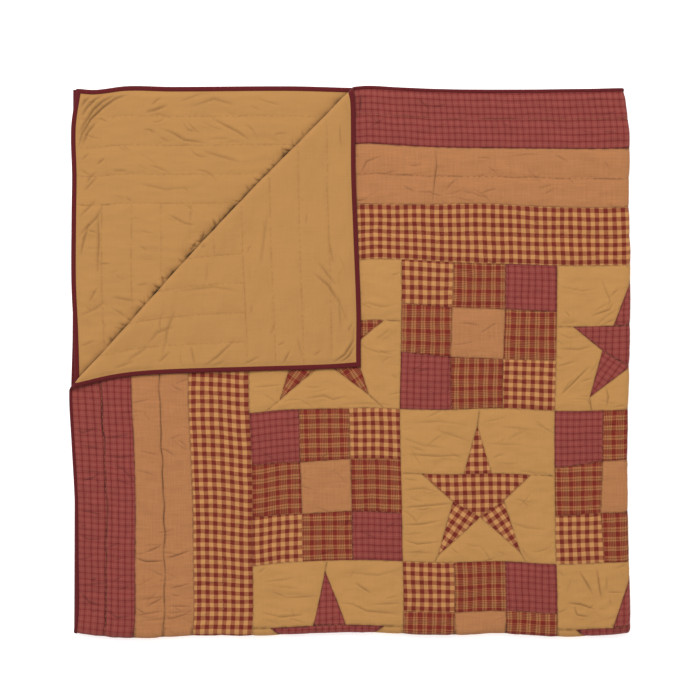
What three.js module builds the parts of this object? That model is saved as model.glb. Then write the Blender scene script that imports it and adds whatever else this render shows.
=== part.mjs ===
// A patchwork star quilt blanket, folded in quarters with the top corner turned back.
//
// The quilt is worked out flat first. Flat places are (u, v) in millimetres from its middle, u to the
// right and v up, with the patchwork face towards the viewer. The right half is folded under the left,
// then the lower half under the upper, so four layers lie on each other: from the top, the upper left
// quarter, the upper right one seen from its back, the lower right one, and the lower left one, whose
// patchwork lies flat on the surface. Last, the top layer's outer corner is turned back over itself.
//
// Three pieces are cut and sewn: the padded patchwork top, the plain backing, and the binding strip
// that wraps the edge of both all the way round. X is the folded quilt's width, Y its length, Z up.
import * as THREE from "three";

const { clamp, lerp, smoothstep } = THREE.MathUtils;

// Flat sizes
const BLOCK = 311; // side of a star or ninepatch block
const BLOCKS = 5; // blocks each way
const PATCHES = 3; // patches across a block
const STRIPS = 3; // border strips round the blocks
const SIDE_STRIP = 123; // width of a border strip at the sides
const END_STRIP = 117; // and at the two ends
const HALF_WIDTH = STRIPS * SIDE_STRIP + (BLOCKS / 2) * BLOCK;
const HALF_LENGTH = STRIPS * END_STRIP + (BLOCKS / 2) * BLOCK;
const BINDING_WIDTH = 10;

// Folded sizes
const FOLDED_WIDTH = 1143;
const FOLDED_LENGTH = 1124;
const CREASE_TOP = 582; // from the turned corner along the top edge to the crease
const CREASE_SIDE = 618; // and down the side edge
const TURNED_TO = { right: 592, down: 573 }; // where the corner lies now, from the folded stack's own corner
const CREASE_BOW = 12; // the crease bulges this far towards the corner
const CREASE_REACH = 120; // and its bulge is gone about this far from it

// Half of the quilt's thickness, from its middle to either face
const CROWN = 2.4; // between the quilting rows
const SEAM = 1.6; // along a seam or quilting row
const RIM = 1.2; // inside the binding
const BACKING_CLOTH = 1;
const BINDING_CLOTH = 0.9;
const EDGE_ROUNDING = 0.7; // the binding is this much thinner at its edge, on either face
const GAP = 0.3; // between pieces
const EDGE_GAP = 0.9; // between the quilt's edge and the fold of the binding

// Spacing of the layers, and the middle radius of each turn of the cloth
const LAYER_PITCH = 5.8;
const FLAP_PITCH = 6.2;
const RIGHT_FOLD = 4.6;
const BOTTOM_FOLD = 3.6; // of the two inner layers
const CREASE_FOLD = 4.6;
const PLUMP_REACH = 70; // a turn's extra height is gone this far from it
const SWELL = 0.07; // the stack stands up to twice this share higher where it is loose
const LOOSE_SPOTS = { across: 190, acrossFrom: 0.6, along: 160, alongFrom: -0.9 }; // their spacing and places

// How far each edge strays from a straight line. "at" is measured from the fold that the edge starts at,
// "by" is to the right for the side edges and up for the others.
const TOP_LAYER_SIDE = [
  { at: 0, by: 0.6 },
  { at: 45, by: 4.7 },
  { at: 160, by: 4.3 },
  { at: 270, by: 3.5 },
  { at: 400, by: -3.3 },
  { at: 490, by: -8.0 },
  { at: 620, by: -5.5 },
  { at: 1124, by: -5.5 },
];
const SECOND_LAYER_SIDE = [
  { at: 0, by: 1.5 },
  { at: 524, by: 2.5 },
  { at: 621, by: 0.2 },
  { at: 730, by: -4.6 },
  { at: 870, by: -4.2 },
  { at: 946, by: -3.2 },
  { at: 1050, by: -5.0 },
  { at: 1124, by: 5.5 },
];
const TOP_LAYER_END = [
  { at: 0, by: 0.4 },
  { at: 119, by: -0.8 },
  { at: 249, by: -2.3 },
  { at: 378, by: -0.8 },
  { at: 471, by: 2.9 },
  { at: 530, by: 6.0 },
  { at: 575, by: 3.1 },
  { at: 1143, by: 3.1 },
];
const SECOND_LAYER_END = [
  { at: 0, by: 0.4 },
  { at: 300, by: -1.0 },
  { at: 567, by: 2.5 },
  { at: 700, by: 5.8 },
  { at: 948, by: 4.6 },
  { at: 1040, by: 6.2 },
  { at: 1108, by: -1.6 },
  { at: 1143, by: 0.6 },
];
const RIGHT_FOLD_LINE = [
  { at: 0, by: 2.5 },
  { at: 119, by: 1.2 },
  { at: 200, by: -2.0 },
  { at: 400, by: -3.7 },
  { at: 560, by: 0.2 },
  { at: 750, by: 2.9 },
  { at: 903, by: -0.6 },
  { at: 1032, by: 0.8 },
  { at: 1124, by: -10.3 },
];
const BOTTOM_FOLD_LINE = [
  { at: 0, by: 4.5 },
  { at: 127, by: -4.5 },
  { at: 270, by: 3.0 },
  { at: 380, by: -0.4 },
  { at: 574, by: 5.0 },
  { at: 767, by: -1.6 },
  { at: 890, by: -1.8 },
  { at: 1036, by: -7.0 },
  { at: 1143, by: 2.5 },
];
// The turned corner's two edges, where "at" is the share of the way from the corner to the crease
const FLAP_END = [
  { at: 0, by: 0 },
  { at: 0.12, by: 0.6 },
  { at: 0.38, by: 8.0 },
  { at: 0.7, by: 15.6 },
  { at: 0.85, by: 13.4 },
  { at: 1, by: 0 },
];
const FLAP_SIDE = [
  { at: 0, by: 0 },
  { at: 0.2, by: 0.8 },
  { at: 0.6, by: -4.2 },
  { at: 1, by: 0 },
];
const UNDER_INSET = 3; // the two lowest layers end this far inside the ones above

// A smooth curve through a table's rows, level before the first and after the last.
function read(table, at) {
  const last = table.length - 1;
  const k = clamp(table.findIndex((row) => row.at > at) - 1, 0, last - 1);
  if (at <= table[0].at) return table[0].by;
  if (at >= table[last].at) return table[last].by;
  const slope = (n) => {
    const [before, after] = [table[Math.max(n - 1, 0)], table[Math.min(n + 1, last)]];
    return (after.by - before.by) / (after.at - before.at);
  };
  const [from, to] = [table[k], table[k + 1]];
  const span = to.at - from.at;
  const t = (at - from.at) / span;
  return (
    from.by * (1 + 2 * t) * (1 - t) ** 2 +
    slope(k) * span * t * (1 - t) ** 2 +
    to.by * t * t * (3 - 2 * t) -
    slope(k + 1) * span * t * t * (1 - t)
  );
}

// The share of a turn's extra height that is left this far past the turn.
const plump = (past) => 1 - smoothstep(past, 0, PLUMP_REACH);

// Half of the distance between the two layers that the right fold joins, at this u.
function halfPair(u) {
  const past = Math.max(Math.abs(u) - (Math.PI / 2) * RIGHT_FOLD, 0);
  return lerp(LAYER_PITCH / 2, RIGHT_FOLD, plump(past));
}

// Height above the middle of that pair: positive for the upper layer.
function heightInPair(u) {
  const angle = clamp(u / RIGHT_FOLD, -Math.PI / 2, Math.PI / 2);
  return -halfPair(u) * Math.sin(angle);
}

// Cloth that half of the bottom turn takes up at this u, since the outer layers go round the inner ones.
function bottomTurn(u) {
  return (Math.PI / 2) * (BOTTOM_FOLD + halfPair(u) + heightInPair(u));
}

// Where a flat place lies once the quilt is folded in quarters.
function foldInQuarters(u, v) {
  const [side, end] = [Math.abs(u), Math.abs(v)];
  const rightTurn = (Math.PI / 2) * RIGHT_FOLD;
  const pastRight = Math.max(side - rightTurn, 0);
  const aroundRight = Math.min(side / RIGHT_FOLD, Math.PI / 2);
  const acrossShrink = (FOLDED_WIDTH - RIGHT_FOLD) / (HALF_WIDTH - rightTurn);
  let x = FOLDED_WIDTH / 2 - RIGHT_FOLD * (1 - Math.cos(aroundRight)) - pastRight * acrossShrink;

  const turn = bottomTurn(u);
  const pastBottom = Math.max(end - turn, 0);
  const aroundBottom = clamp(v / turn, -1, 1) * (Math.PI / 2);
  const halfMiddle = lerp(LAYER_PITCH / 2, BOTTOM_FOLD, plump(pastBottom));
  const radius = halfMiddle + halfPair(u) + heightInPair(u);
  const outermost = BOTTOM_FOLD + 2 * halfPair(u);
  const alongShrink = (FOLDED_LENGTH - outermost) / (HALF_LENGTH - turn);
  let y = -FOLDED_LENGTH / 2 + outermost - radius * Math.cos(aroundBottom) + pastBottom * alongShrink;
  const z = CROWN + halfMiddle + 2 * halfPair(u) + radius * Math.sin(aroundBottom);

  const sideEdge = read(u < 0 ? TOP_LAYER_SIDE : SECOND_LAYER_SIDE, end);
  const topEdge = read(u < 0 ? TOP_LAYER_END : SECOND_LAYER_END, side);
  const inset = v < 0 ? UNDER_INSET : 0;
  const towardsEnd = end / HALF_LENGTH;
  const towardsSide = side / HALF_WIDTH;
  x += lerp(read(RIGHT_FOLD_LINE, end), sideEdge + inset * towardsEnd, towardsSide);
  y += lerp(read(BOTTOM_FOLD_LINE, side), topEdge - inset, towardsEnd);
  return new THREE.Vector3(x, y, z);
}

// A flat place as shares of the turned corner's triangle: the crease's end on the top edge, its end on
// the side edge, and the corner. The corner's share is negative on the side of the crease that stays.
function sharesOfCorner(u, v) {
  const top = (u + HALF_WIDTH) / CREASE_TOP;
  const side = (HALF_LENGTH - v) / CREASE_SIDE;
  return { top, side, corner: 1 - top - side };
}

const CORNER_DEPTH = (CREASE_TOP * CREASE_SIDE) / Math.hypot(CREASE_TOP, CREASE_SIDE);
const CREASE_HALF_TURN = (Math.PI / 2) * CREASE_FOLD;
const creaseEnds = [
  foldInQuarters(CREASE_TOP - HALF_WIDTH, HALF_LENGTH).setZ(0),
  foldInQuarters(-HALF_WIDTH, HALF_LENGTH - CREASE_SIDE).setZ(0),
];
const alongCrease = creaseEnds[1].clone().sub(creaseEnds[0]).normalize();
const towardsCorner = new THREE.Vector3(-Math.abs(alongCrease.y), Math.abs(alongCrease.x), 0);
const turnedCorner = new THREE.Vector3(
  TURNED_TO.right - FOLDED_WIDTH / 2,
  FOLDED_LENGTH / 2 - TURNED_TO.down,
  0,
);
const TURNED_DEPTH = turnedCorner.clone().sub(creaseEnds[0]).dot(towardsCorner);

// The crease bulges, and the top layer beside it with it.
function besideCrease(u, v) {
  const { top, side, corner } = sharesOfCorner(u, v);
  const along = clamp(side / (top + side), 0, 1);
  const near = Math.exp(-(((corner * CORNER_DEPTH) / CREASE_REACH) ** 2));
  return foldInQuarters(u, v).addScaledVector(towardsCorner, CREASE_BOW * 4 * along * (1 - along) * near);
}

// Where a flat place of the upper left quarter lies once its corner is turned back.
const LEAST = 1e-6; // keeps the very corner's place along the crease from being 0 / 0
function turnCorner(u, v) {
  const { top, side, corner } = sharesOfCorner(u, v);
  const fromCrease = corner * CORNER_DEPTH;
  const around = clamp((fromCrease + CREASE_HALF_TURN) / CREASE_FOLD, 0, Math.PI);
  const reach = CREASE_FOLD * Math.sin(around) - CREASE_HALF_TURN;
  const lift = CREASE_FOLD * (1 - Math.cos(around));
  if (corner <= 0) {
    const place = besideCrease(u, v);
    if (around > 0) place.addScaledVector(towardsCorner, reach - fromCrease);
    place.z += lift;
    return place;
  }
  const along = clamp(side / Math.max(top + side, LEAST), 0, 1);
  const onCrease = besideCrease(CREASE_TOP * (1 - along) - HALF_WIDTH, HALF_LENGTH - CREASE_SIDE * along);
  const straight = new THREE.Vector3().lerpVectors(creaseEnds[0], creaseEnds[1], along);
  const place = new THREE.Vector3()
    .addScaledVector(creaseEnds[0], top)
    .addScaledVector(creaseEnds[1], side)
    .addScaledVector(turnedCorner, corner)
    .addScaledVector(onCrease.clone().sub(straight), top + side);
  const past = (fromCrease - CREASE_HALF_TURN) / (CORNER_DEPTH - CREASE_HALF_TURN);
  const back = past > 0 ? lerp(-CREASE_HALF_TURN, TURNED_DEPTH, past) : reach;
  place.addScaledVector(towardsCorner, back - corner * TURNED_DEPTH);
  place.y += read(FLAP_END, side / (side + corner)) * (1 - top) ** 3;
  place.x += read(FLAP_SIDE, top / (top + corner)) * (1 - side) ** 3;
  const settled = lerp(FLAP_PITCH, 2 * CREASE_FOLD, plump(fromCrease - CREASE_HALF_TURN));
  place.z = onCrease.z + (past > 0 ? settled : lift);
  return place;
}

// The middle of the quilt's thickness at a flat place, folded and a little loose here and there.
function middle(u, v) {
  const place = u < 0 && v > 0 ? turnCorner(u, v) : foldInQuarters(u, v);
  const { across, acrossFrom, along, alongFrom } = LOOSE_SPOTS;
  const loose = 1 + Math.sin(place.x / across + acrossFrom) * Math.sin(place.y / along + alongFrom);
  place.z = CROWN + (place.z - CROWN) * (1 + SWELL * loose);
  return place;
}

// A point that far off the middle, towards the patchwork face.
const SLOPE_STEP = 0.25;
function offMiddle(u, v, height) {
  const across = middle(u + SLOPE_STEP, v).sub(middle(u - SLOPE_STEP, v));
  const along = middle(u, v + SLOPE_STEP).sub(middle(u, v - SLOPE_STEP));
  return middle(u, v).addScaledVector(across.cross(along).normalize(), height);
}

// The flat quilt in triangles

// Seams and quilting rows of one half, as distances from its free edge.
function rowsFromEdge(strip, half, stripRows, patchRows) {
  const rows = [0, BINDING_WIDTH];
  for (let n = 1; n <= STRIPS * stripRows; n++) rows.push((n * strip) / stripRows);
  const step = BLOCK / patchRows;
  for (let at = STRIPS * strip + step; at < half - step / 4; at += step) rows.push(at);
  return rows;
}

const TURN_STEPS = 6;
const shown = { strip: 2, patch: PATCHES }; // rows to a strip and to a block where the quilting shows
const hidden = { strip: 1, patch: 1 }; // and in the two lowest layers

const turnShares = Array.from({ length: TURN_STEPS + 1 }, (_, n) => (2 * n) / TURN_STEPS - 1);
const sideRows = rowsFromEdge(SIDE_STRIP, HALF_WIDTH, shown.strip, shown.patch);
const columns = [
  ...sideRows.map((d) => d - HALF_WIDTH),
  ...turnShares.map((share) => (share * Math.PI * RIGHT_FOLD) / 2),
  ...sideRows.map((d) => HALF_WIDTH - d).reverse(),
];
const rows = [
  ...rowsFromEdge(END_STRIP, HALF_LENGTH, hidden.strip, hidden.patch).map((d) => ({ v: d - HALF_LENGTH })),
  ...turnShares.map((turn) => ({ turn })),
  ...rowsFromEdge(END_STRIP, HALF_LENGTH, shown.strip, shown.patch)
    .map((d) => ({ v: HALF_LENGTH - d }))
    .reverse(),
];

const ON_LINE = 0.01; // two places closer than this are the same
const outside = (u, v, inset) =>
  Math.abs(u) > HALF_WIDTH - inset - ON_LINE || Math.abs(v) > HALF_LENGTH - inset - ON_LINE;
const inBinding = (u, v) => outside(u, v, BINDING_WIDTH);

// The lowest layer's patchwork face lies flat on the surface, from where the folds' turns end.
const onSurface = (u, v) =>
  u < ON_LINE - (Math.PI / 2) * RIGHT_FOLD && v < ON_LINE - bottomTurn(-HALF_WIDTH);

function gridPoint(column, row) {
  const u = columns[column];
  const v = rows[row].v ?? rows[row].turn * bottomTurn(u);
  const half = inBinding(u, v) ? RIM : SEAM;
  return { u, v, front: half === SEAM && onSurface(u, v) ? CROWN : half, back: half };
}

// The quilting of the second layer shows only where the corner of the first is turned back.
const PAST_CREASE = 0.1; // and this share of the corner's depth further
function crowned(u, v) {
  const { corner } = sharesOfCorner(-Math.abs(u), v);
  return v > 0 && (u < 0 || corner > -PAST_CREASE);
}

const points = [];
let triangles = [];
rows.forEach((_, row) => columns.forEach((_, column) => points.push(gridPoint(column, row))));
for (let row = 0; row + 1 < rows.length; row++) {
  for (let column = 0; column + 1 < columns.length; column++) {
    const first = row * columns.length + column;
    const corners = [first, first + 1, first + 1 + columns.length, first + columns.length];
    const u = (columns[column] + columns[column + 1]) / 2;
    const v = corners.reduce((sum, n) => sum + points[n].v / 4, 0);
    const wide = columns[column + 1] - columns[column] > 2 * BINDING_WIDTH;
    const long = points[corners[3]].v - points[corners[0]].v > 2 * BINDING_WIDTH;
    if (wide && long && !inBinding(u, v) && crowned(u, v)) {
      const top = points.push({ u, v, front: CROWN, back: CROWN }) - 1;
      corners.forEach((corner, n) => triangles.push([corner, corners[(n + 1) % 4], top]));
    } else {
      triangles.push([corners[0], corners[1], corners[2]], [corners[0], corners[2], corners[3]]);
    }
  }
}

// Splits each triangle that a line runs through. distance(u, v) is signed, and zero on the line.
const NEAR_LINE = 0.8; // a point this near counts as on the line
function cutAlong(distance) {
  const sides = points.map(({ u, v }) => (Math.abs(distance(u, v)) < NEAR_LINE ? 0 : distance(u, v)));
  const made = new Map();
  const crossing = (a, b) => {
    const key = a < b ? `${a},${b}` : `${b},${a}`;
    if (!made.has(key)) {
      const share = sides[a] / (sides[a] - sides[b]);
      const between = (name) => lerp(points[a][name], points[b][name], share);
      const point = { u: between("u"), v: between("v"), front: between("front"), back: between("back") };
      made.set(key, points.push(point) - 1);
    }
    return made.get(key);
  };
  triangles = triangles.flatMap((triangle) => {
    const above = triangle.filter((n) => sides[n] > 0).length;
    const below = triangle.filter((n) => sides[n] < 0).length;
    if (!above || !below) return [triangle];
    const isAlone = (side) => (above === below ? side === 0 : above === 1 ? side > 0 : side < 0);
    const alone = triangle.findIndex((n) => isAlone(sides[n]));
    const [a, b, c] = [0, 1, 2].map((n) => triangle[(alone + n) % 3]);
    if (above === below) {
      const d = crossing(b, c);
      return [[a, b, d], [a, d, c]];
    }
    const [d, e] = [crossing(a, b), crossing(a, c)];
    return [[a, d, e], [d, b, c], [d, c, e]];
  });
}

const CREASE_STEPS = 5;
for (let n = 0; n <= CREASE_STEPS; n++) {
  const offset = ((2 * n) / CREASE_STEPS - 1) * CREASE_HALF_TURN;
  cutAlong((u, v) => (u < 0 && v > 0 ? sharesOfCorner(u, v).corner * CORNER_DEPTH - offset : -1));
}

// Solids over the flat triangles

// Edges that only one of the triangles has, in that triangle's own direction.
function rimOf(faces) {
  const edges = new Map();
  for (const [a, b, c] of faces) {
    for (const edge of [[a, b], [b, c], [c, a]]) edges.set(edge.join(), edge);
  }
  return [...edges.values()].filter(([a, b]) => !edges.has([b, a].join()));
}

function closedSolid(corners) {
  const geometry = new THREE.BufferGeometry();
  const numbers = corners.flatMap((corner) => corner.toArray());
  geometry.setAttribute("position", new THREE.Float32BufferAttribute(numbers, 3));
  geometry.computeVertexNormals();
  return geometry;
}

// A sheet between two heights over the flat quilt, each a function of one of its points.
function sheetSolid(upper, lower) {
  const place = (height) => points.map((p) => offMiddle(p.u, p.v, height(p)));
  const [above, below] = [place(upper), place(lower)];
  const corners = [];
  for (const [a, b, c] of triangles) {
    corners.push(above[a], above[b], above[c], below[a], below[c], below[b]);
  }
  for (const [a, b] of rimOf(triangles)) {
    corners.push(above[a], below[a], below[b], above[a], below[b], above[b]);
  }
  return closedSolid(corners);
}

// The binding: cloth over the front, round the edge and over the back of the outermost strip.
function bindingSolid() {
  const strip = triangles.filter((face) => face.every((n) => inBinding(points[n].u, points[n].v)));
  const onEdge = ({ u, v }) => outside(u, v, 0);
  const pushed = (at, half, out) => (Math.abs(at) > half - ON_LINE ? at + Math.sign(at) * out : at);
  const shell = (height, edgeHeight, out) =>
    points.map((p) => {
      const [u, v] = [pushed(p.u, HALF_WIDTH, out), pushed(p.v, HALF_LENGTH, out)];
      return offMiddle(u, v, onEdge(p) ? edgeHeight : height);
    });
  const inner = RIM + GAP;
  const outer = inner + BINDING_CLOTH;
  const rounded = outer - EDGE_ROUNDING;
  const edge = EDGE_GAP + BINDING_CLOTH;
  const frontOut = shell(outer, rounded, edge);
  const frontIn = shell(inner, inner, EDGE_GAP);
  const backIn = shell(-inner, -inner, EDGE_GAP);
  const backOut = shell(-outer, -rounded, edge);
  const corners = [];
  const face = (side, [a, b, c]) => corners.push(side[a], side[b], side[c]);
  const wall = (high, low, [a, b]) => corners.push(high[a], low[a], low[b], high[a], low[b], high[b]);
  strip.forEach(([a, b, c]) => {
    face(frontOut, [a, b, c]);
    face(frontIn, [a, c, b]);
    face(backIn, [a, b, c]);
    face(backOut, [a, c, b]);
  });
  rimOf(strip).forEach(([a, b]) => {
    if (onEdge(points[a]) && onEdge(points[b])) {
      wall(frontOut, backOut, [a, b]);
      wall(frontIn, backIn, [b, a]);
    } else {
      wall(frontOut, frontIn, [a, b]);
      wall(backIn, backOut, [a, b]);
    }
  });
  return closedSolid(corners);
}

function piece(name, geometry, color, roughness) {
  const mesh = new THREE.Mesh(geometry, new THREE.MeshStandardMaterial({ color, roughness, metalness: 0 }));
  mesh.name = name;
  return mesh;
}

const quilt = new THREE.Group();
quilt.add(
  piece("patchwork_top", sheetSolid((p) => p.front, (p) => -p.back + BACKING_CLOTH + GAP), 0x96464a, 0.9),
  piece("backing", sheetSolid((p) => -p.back + BACKING_CLOTH, (p) => -p.back), 0xb98a52, 0.92),
  piece("binding", bindingSolid(), 0x6b1f2b, 0.88),
);

// The origin is the middle of the underside.
const box = new THREE.Box3().setFromObject(quilt);
const centre = box.getCenter(new THREE.Vector3());
quilt.position.set(-centre.x, -centre.y, -box.min.z);
export default quilt;
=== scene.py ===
import math

import bpy
import numpy as np
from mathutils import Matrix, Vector, geometry, noise


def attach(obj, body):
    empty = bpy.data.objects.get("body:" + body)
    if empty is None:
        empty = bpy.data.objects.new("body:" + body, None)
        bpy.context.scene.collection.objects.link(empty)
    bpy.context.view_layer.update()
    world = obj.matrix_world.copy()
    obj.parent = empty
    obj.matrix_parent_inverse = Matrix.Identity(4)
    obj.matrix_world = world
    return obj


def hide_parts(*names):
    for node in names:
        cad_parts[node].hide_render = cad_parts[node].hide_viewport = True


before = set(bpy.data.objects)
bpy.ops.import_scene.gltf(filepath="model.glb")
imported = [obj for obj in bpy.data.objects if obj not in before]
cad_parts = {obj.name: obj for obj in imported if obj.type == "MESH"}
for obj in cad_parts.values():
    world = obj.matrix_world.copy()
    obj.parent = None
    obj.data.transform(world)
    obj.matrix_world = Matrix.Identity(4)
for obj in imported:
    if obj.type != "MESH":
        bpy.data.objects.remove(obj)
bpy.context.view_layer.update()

# The folds. The quilt is folded right half under left, then lower half under upper, and the outer
# corner of the top layer is turned back over itself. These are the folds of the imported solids, so
# that each sheet of cloth lies on its own solid.
MM = 0.001
HALF_WIDTH = 1146.5
HALF_LENGTH = 1128.5
FOLDED_WIDTH = 1143
FOLDED_LENGTH = 1124
CREASE_TOP = 582  # from the turned corner along the top edge to the crease
CREASE_SIDE = 618  # and down the side edge
TURNED_RIGHT = 592  # the corner lies this far from the folded stack's own corner
TURNED_DOWN = 573
CREASE_BOW = 12  # the crease bows out this far halfway along
CREASE_REACH = 120  # and the cloth beside it follows, less and less, over this
CROWN = 2.4  # half of the quilt's thickness between the stitched lines
SEAM = 1.6  # along a seam
RIM = 1.2  # and inside the binding
LAYER_PITCH = 5.8  # from the middle of one layer to the next one's
FLAP_PITCH = 6.2  # and from the top layer's to the turned corner's
RIGHT_FOLD = 4.6  # half of each turn's height
BOTTOM_FOLD = 3.6
CREASE_FOLD = 4.6
PLUMP_REACH = 70  # the turns' extra height is gone this far past them
SWELL = 0.07  # share by which the stack is higher where it lies loosely
SWELL_ACROSS = (190, 0.6)  # length and start of the loose places' waves across the quilt
SWELL_ALONG = (160, -0.9)  # and along it
UNDER_INSET = 3  # the two lowest layers end this far inside the ones above
SHIFT_RIGHT = 3.1287  # from the folds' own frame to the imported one
SHIFT_UP = 0.188
QUARTER_TURN = math.pi / 2

# How far each edge strays from a straight line, as (distance from its fold, by)
TOP_LAYER_SIDE = [
    *[(0, 0.6), (45, 4.7), (160, 4.3), (270, 3.5)],
    *[(400, -3.3), (490, -8), (620, -5.5), (1124, -5.5)],
]
SECOND_LAYER_SIDE = [
    *[(0, 1.5), (524, 2.5), (621, 0.2), (730, -4.6)],
    *[(870, -4.2), (946, -3.2), (1050, -5), (1124, 5.5)],
]
TOP_LAYER_END = [
    *[(0, 0.4), (119, -0.8), (249, -2.3), (378, -0.8)],
    *[(471, 2.9), (530, 6), (575, 3.1), (1143, 3.1)],
]
SECOND_LAYER_END = [
    *[(0, 0.4), (300, -1), (567, 2.5), (700, 5.8)],
    *[(948, 4.6), (1040, 6.2), (1108, -1.6), (1143, 0.6)],
]
RIGHT_FOLD_LINE = [
    *[(0, 2.5), (119, 1.2), (200, -2), (400, -3.7), (560, 0.2)],
    *[(750, 2.9), (903, -0.6), (1032, 0.8), (1124, -10.3)],
]
BOTTOM_FOLD_LINE = [
    *[(0, 4.5), (127, -4.5), (270, 3), (380, -0.4), (574, 5)],
    *[(767, -1.6), (890, -1.8), (1036, -7), (1143, 2.5)],
]
# and the turned corner's two edges, as (share of the way from the corner to the crease, by)
FLAP_END = [(0, 2.5), (0.12, 3), (0.38, 9.5), (0.7, 17), (0.85, 14.4), (1, 0)]
FLAP_SIDE = [(0, -1.5), (0.06, -0.8), (0.2, 2), (0.5, 1), (0.7, 0.5), (0.87, 3.2), (0.96, 3.6), (1, 0)]


def mix(start, end, share):
    return start + (end - start) * share


def smooth(at, start, end):
    """0 before start, 1 past end and a soft step between them."""
    share = np.clip((at - start) / (end - start), 0, 1)
    return share * share * (3 - 2 * share)


def read(table, at):
    """A smooth curve through a table's rows, level before the first and after the last."""
    places, offsets = np.array(table, float).T
    at = np.clip(at, places[0], places[-1])
    row = np.arange(len(places))
    before = np.maximum(row - 1, 0)
    after = np.minimum(row + 1, len(places) - 1)
    slopes = (offsets[after] - offsets[before]) / (places[after] - places[before])
    k = np.clip(np.searchsorted(places, at, side="right") - 1, 0, len(places) - 2)
    span = places[k + 1] - places[k]
    share = (at - places[k]) / span
    left = 1 - share
    ends = offsets[k] * (1 + 2 * share) * left**2 + offsets[k + 1] * share**2 * (3 - 2 * share)
    return ends + span * share * left * (slopes[k] * left - slopes[k + 1] * share)


def plump(past):
    """The share of a turn's extra height that is left this far past it."""
    return 1 - smooth(past, 0, PLUMP_REACH)


def half_pair(u):
    """Half of the distance between the two layers that the right fold joins."""
    return mix(LAYER_PITCH / 2, RIGHT_FOLD, plump(np.maximum(np.abs(u) - QUARTER_TURN * RIGHT_FOLD, 0)))


def height_in_pair(u):
    return -half_pair(u) * np.sin(np.clip(u / RIGHT_FOLD, -QUARTER_TURN, QUARTER_TURN))


def bottom_turn(u):
    """Cloth that half of the bottom turn takes up."""
    return QUARTER_TURN * (BOTTOM_FOLD + half_pair(u) + height_in_pair(u))


def fold_in_quarters(u, v):
    side, end = np.abs(u), np.abs(v)
    right_turn = QUARTER_TURN * RIGHT_FOLD
    past_right = np.maximum(side - right_turn, 0)
    around_right = np.minimum(side / RIGHT_FOLD, QUARTER_TURN)
    shrink = (FOLDED_WIDTH - RIGHT_FOLD) / (HALF_WIDTH - right_turn)
    x = FOLDED_WIDTH / 2 - RIGHT_FOLD * (1 - np.cos(around_right)) - past_right * shrink

    turn = bottom_turn(u)
    past_bottom = np.maximum(end - turn, 0)
    around_bottom = np.clip(v / turn, -1, 1) * QUARTER_TURN
    half_middle = mix(LAYER_PITCH / 2, BOTTOM_FOLD, plump(past_bottom))
    radius = half_middle + half_pair(u) + height_in_pair(u)
    outermost = BOTTOM_FOLD + 2 * half_pair(u)
    shrink = (FOLDED_LENGTH - outermost) / (HALF_LENGTH - turn)
    y = -FOLDED_LENGTH / 2 + outermost - radius * np.cos(around_bottom) + past_bottom * shrink
    z = CROWN + half_middle + 2 * half_pair(u) + radius * np.sin(around_bottom)

    top_layer = u < 0
    side_edge = np.where(top_layer, read(TOP_LAYER_SIDE, end), read(SECOND_LAYER_SIDE, end))
    top_edge = np.where(top_layer, read(TOP_LAYER_END, side), read(SECOND_LAYER_END, side))
    inset = np.where(v < 0, UNDER_INSET, 0)
    towards_end = end / HALF_LENGTH
    towards_side = side / HALF_WIDTH
    x = x + mix(read(RIGHT_FOLD_LINE, end), side_edge + inset * towards_end, towards_side)
    y = y + mix(read(BOTTOM_FOLD_LINE, side), top_edge - inset, towards_end)
    return np.stack([x, y, z], axis=-1)


def shares_of_corner(u, v):
    """A flat place as shares of the turned corner's triangle: the crease's two ends and the corner."""
    top = (u + HALF_WIDTH) / CREASE_TOP
    side = (HALF_LENGTH - v) / CREASE_SIDE
    return top, side, 1 - top - side


CORNER_DEPTH = CREASE_TOP * CREASE_SIDE / math.hypot(CREASE_TOP, CREASE_SIDE)
CREASE_HALF_TURN = QUARTER_TURN * CREASE_FOLD
crease_ends = fold_in_quarters(
    np.array([CREASE_TOP - HALF_WIDTH, -HALF_WIDTH]),
    np.array([HALF_LENGTH, HALF_LENGTH - CREASE_SIDE]),
) * [1, 1, 0]
along_crease = (crease_ends[1] - crease_ends[0]) / np.linalg.norm(crease_ends[1] - crease_ends[0])
towards_corner = np.array([-abs(along_crease[1]), abs(along_crease[0]), 0])
turned_corner = np.array([TURNED_RIGHT - FOLDED_WIDTH / 2, FOLDED_LENGTH / 2 - TURNED_DOWN, 0])
TURNED_DEPTH = (turned_corner - crease_ends[0]) @ towards_corner


def beside_crease(u, v):
    top, side, corner = shares_of_corner(u, v)
    along = np.clip(side / (top + side), 0, 1)
    near = np.exp(-((corner * CORNER_DEPTH / CREASE_REACH) ** 2))
    bow = CREASE_BOW * 4 * along * (1 - along) * near
    return fold_in_quarters(u, v) + bow[..., None] * towards_corner


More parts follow.
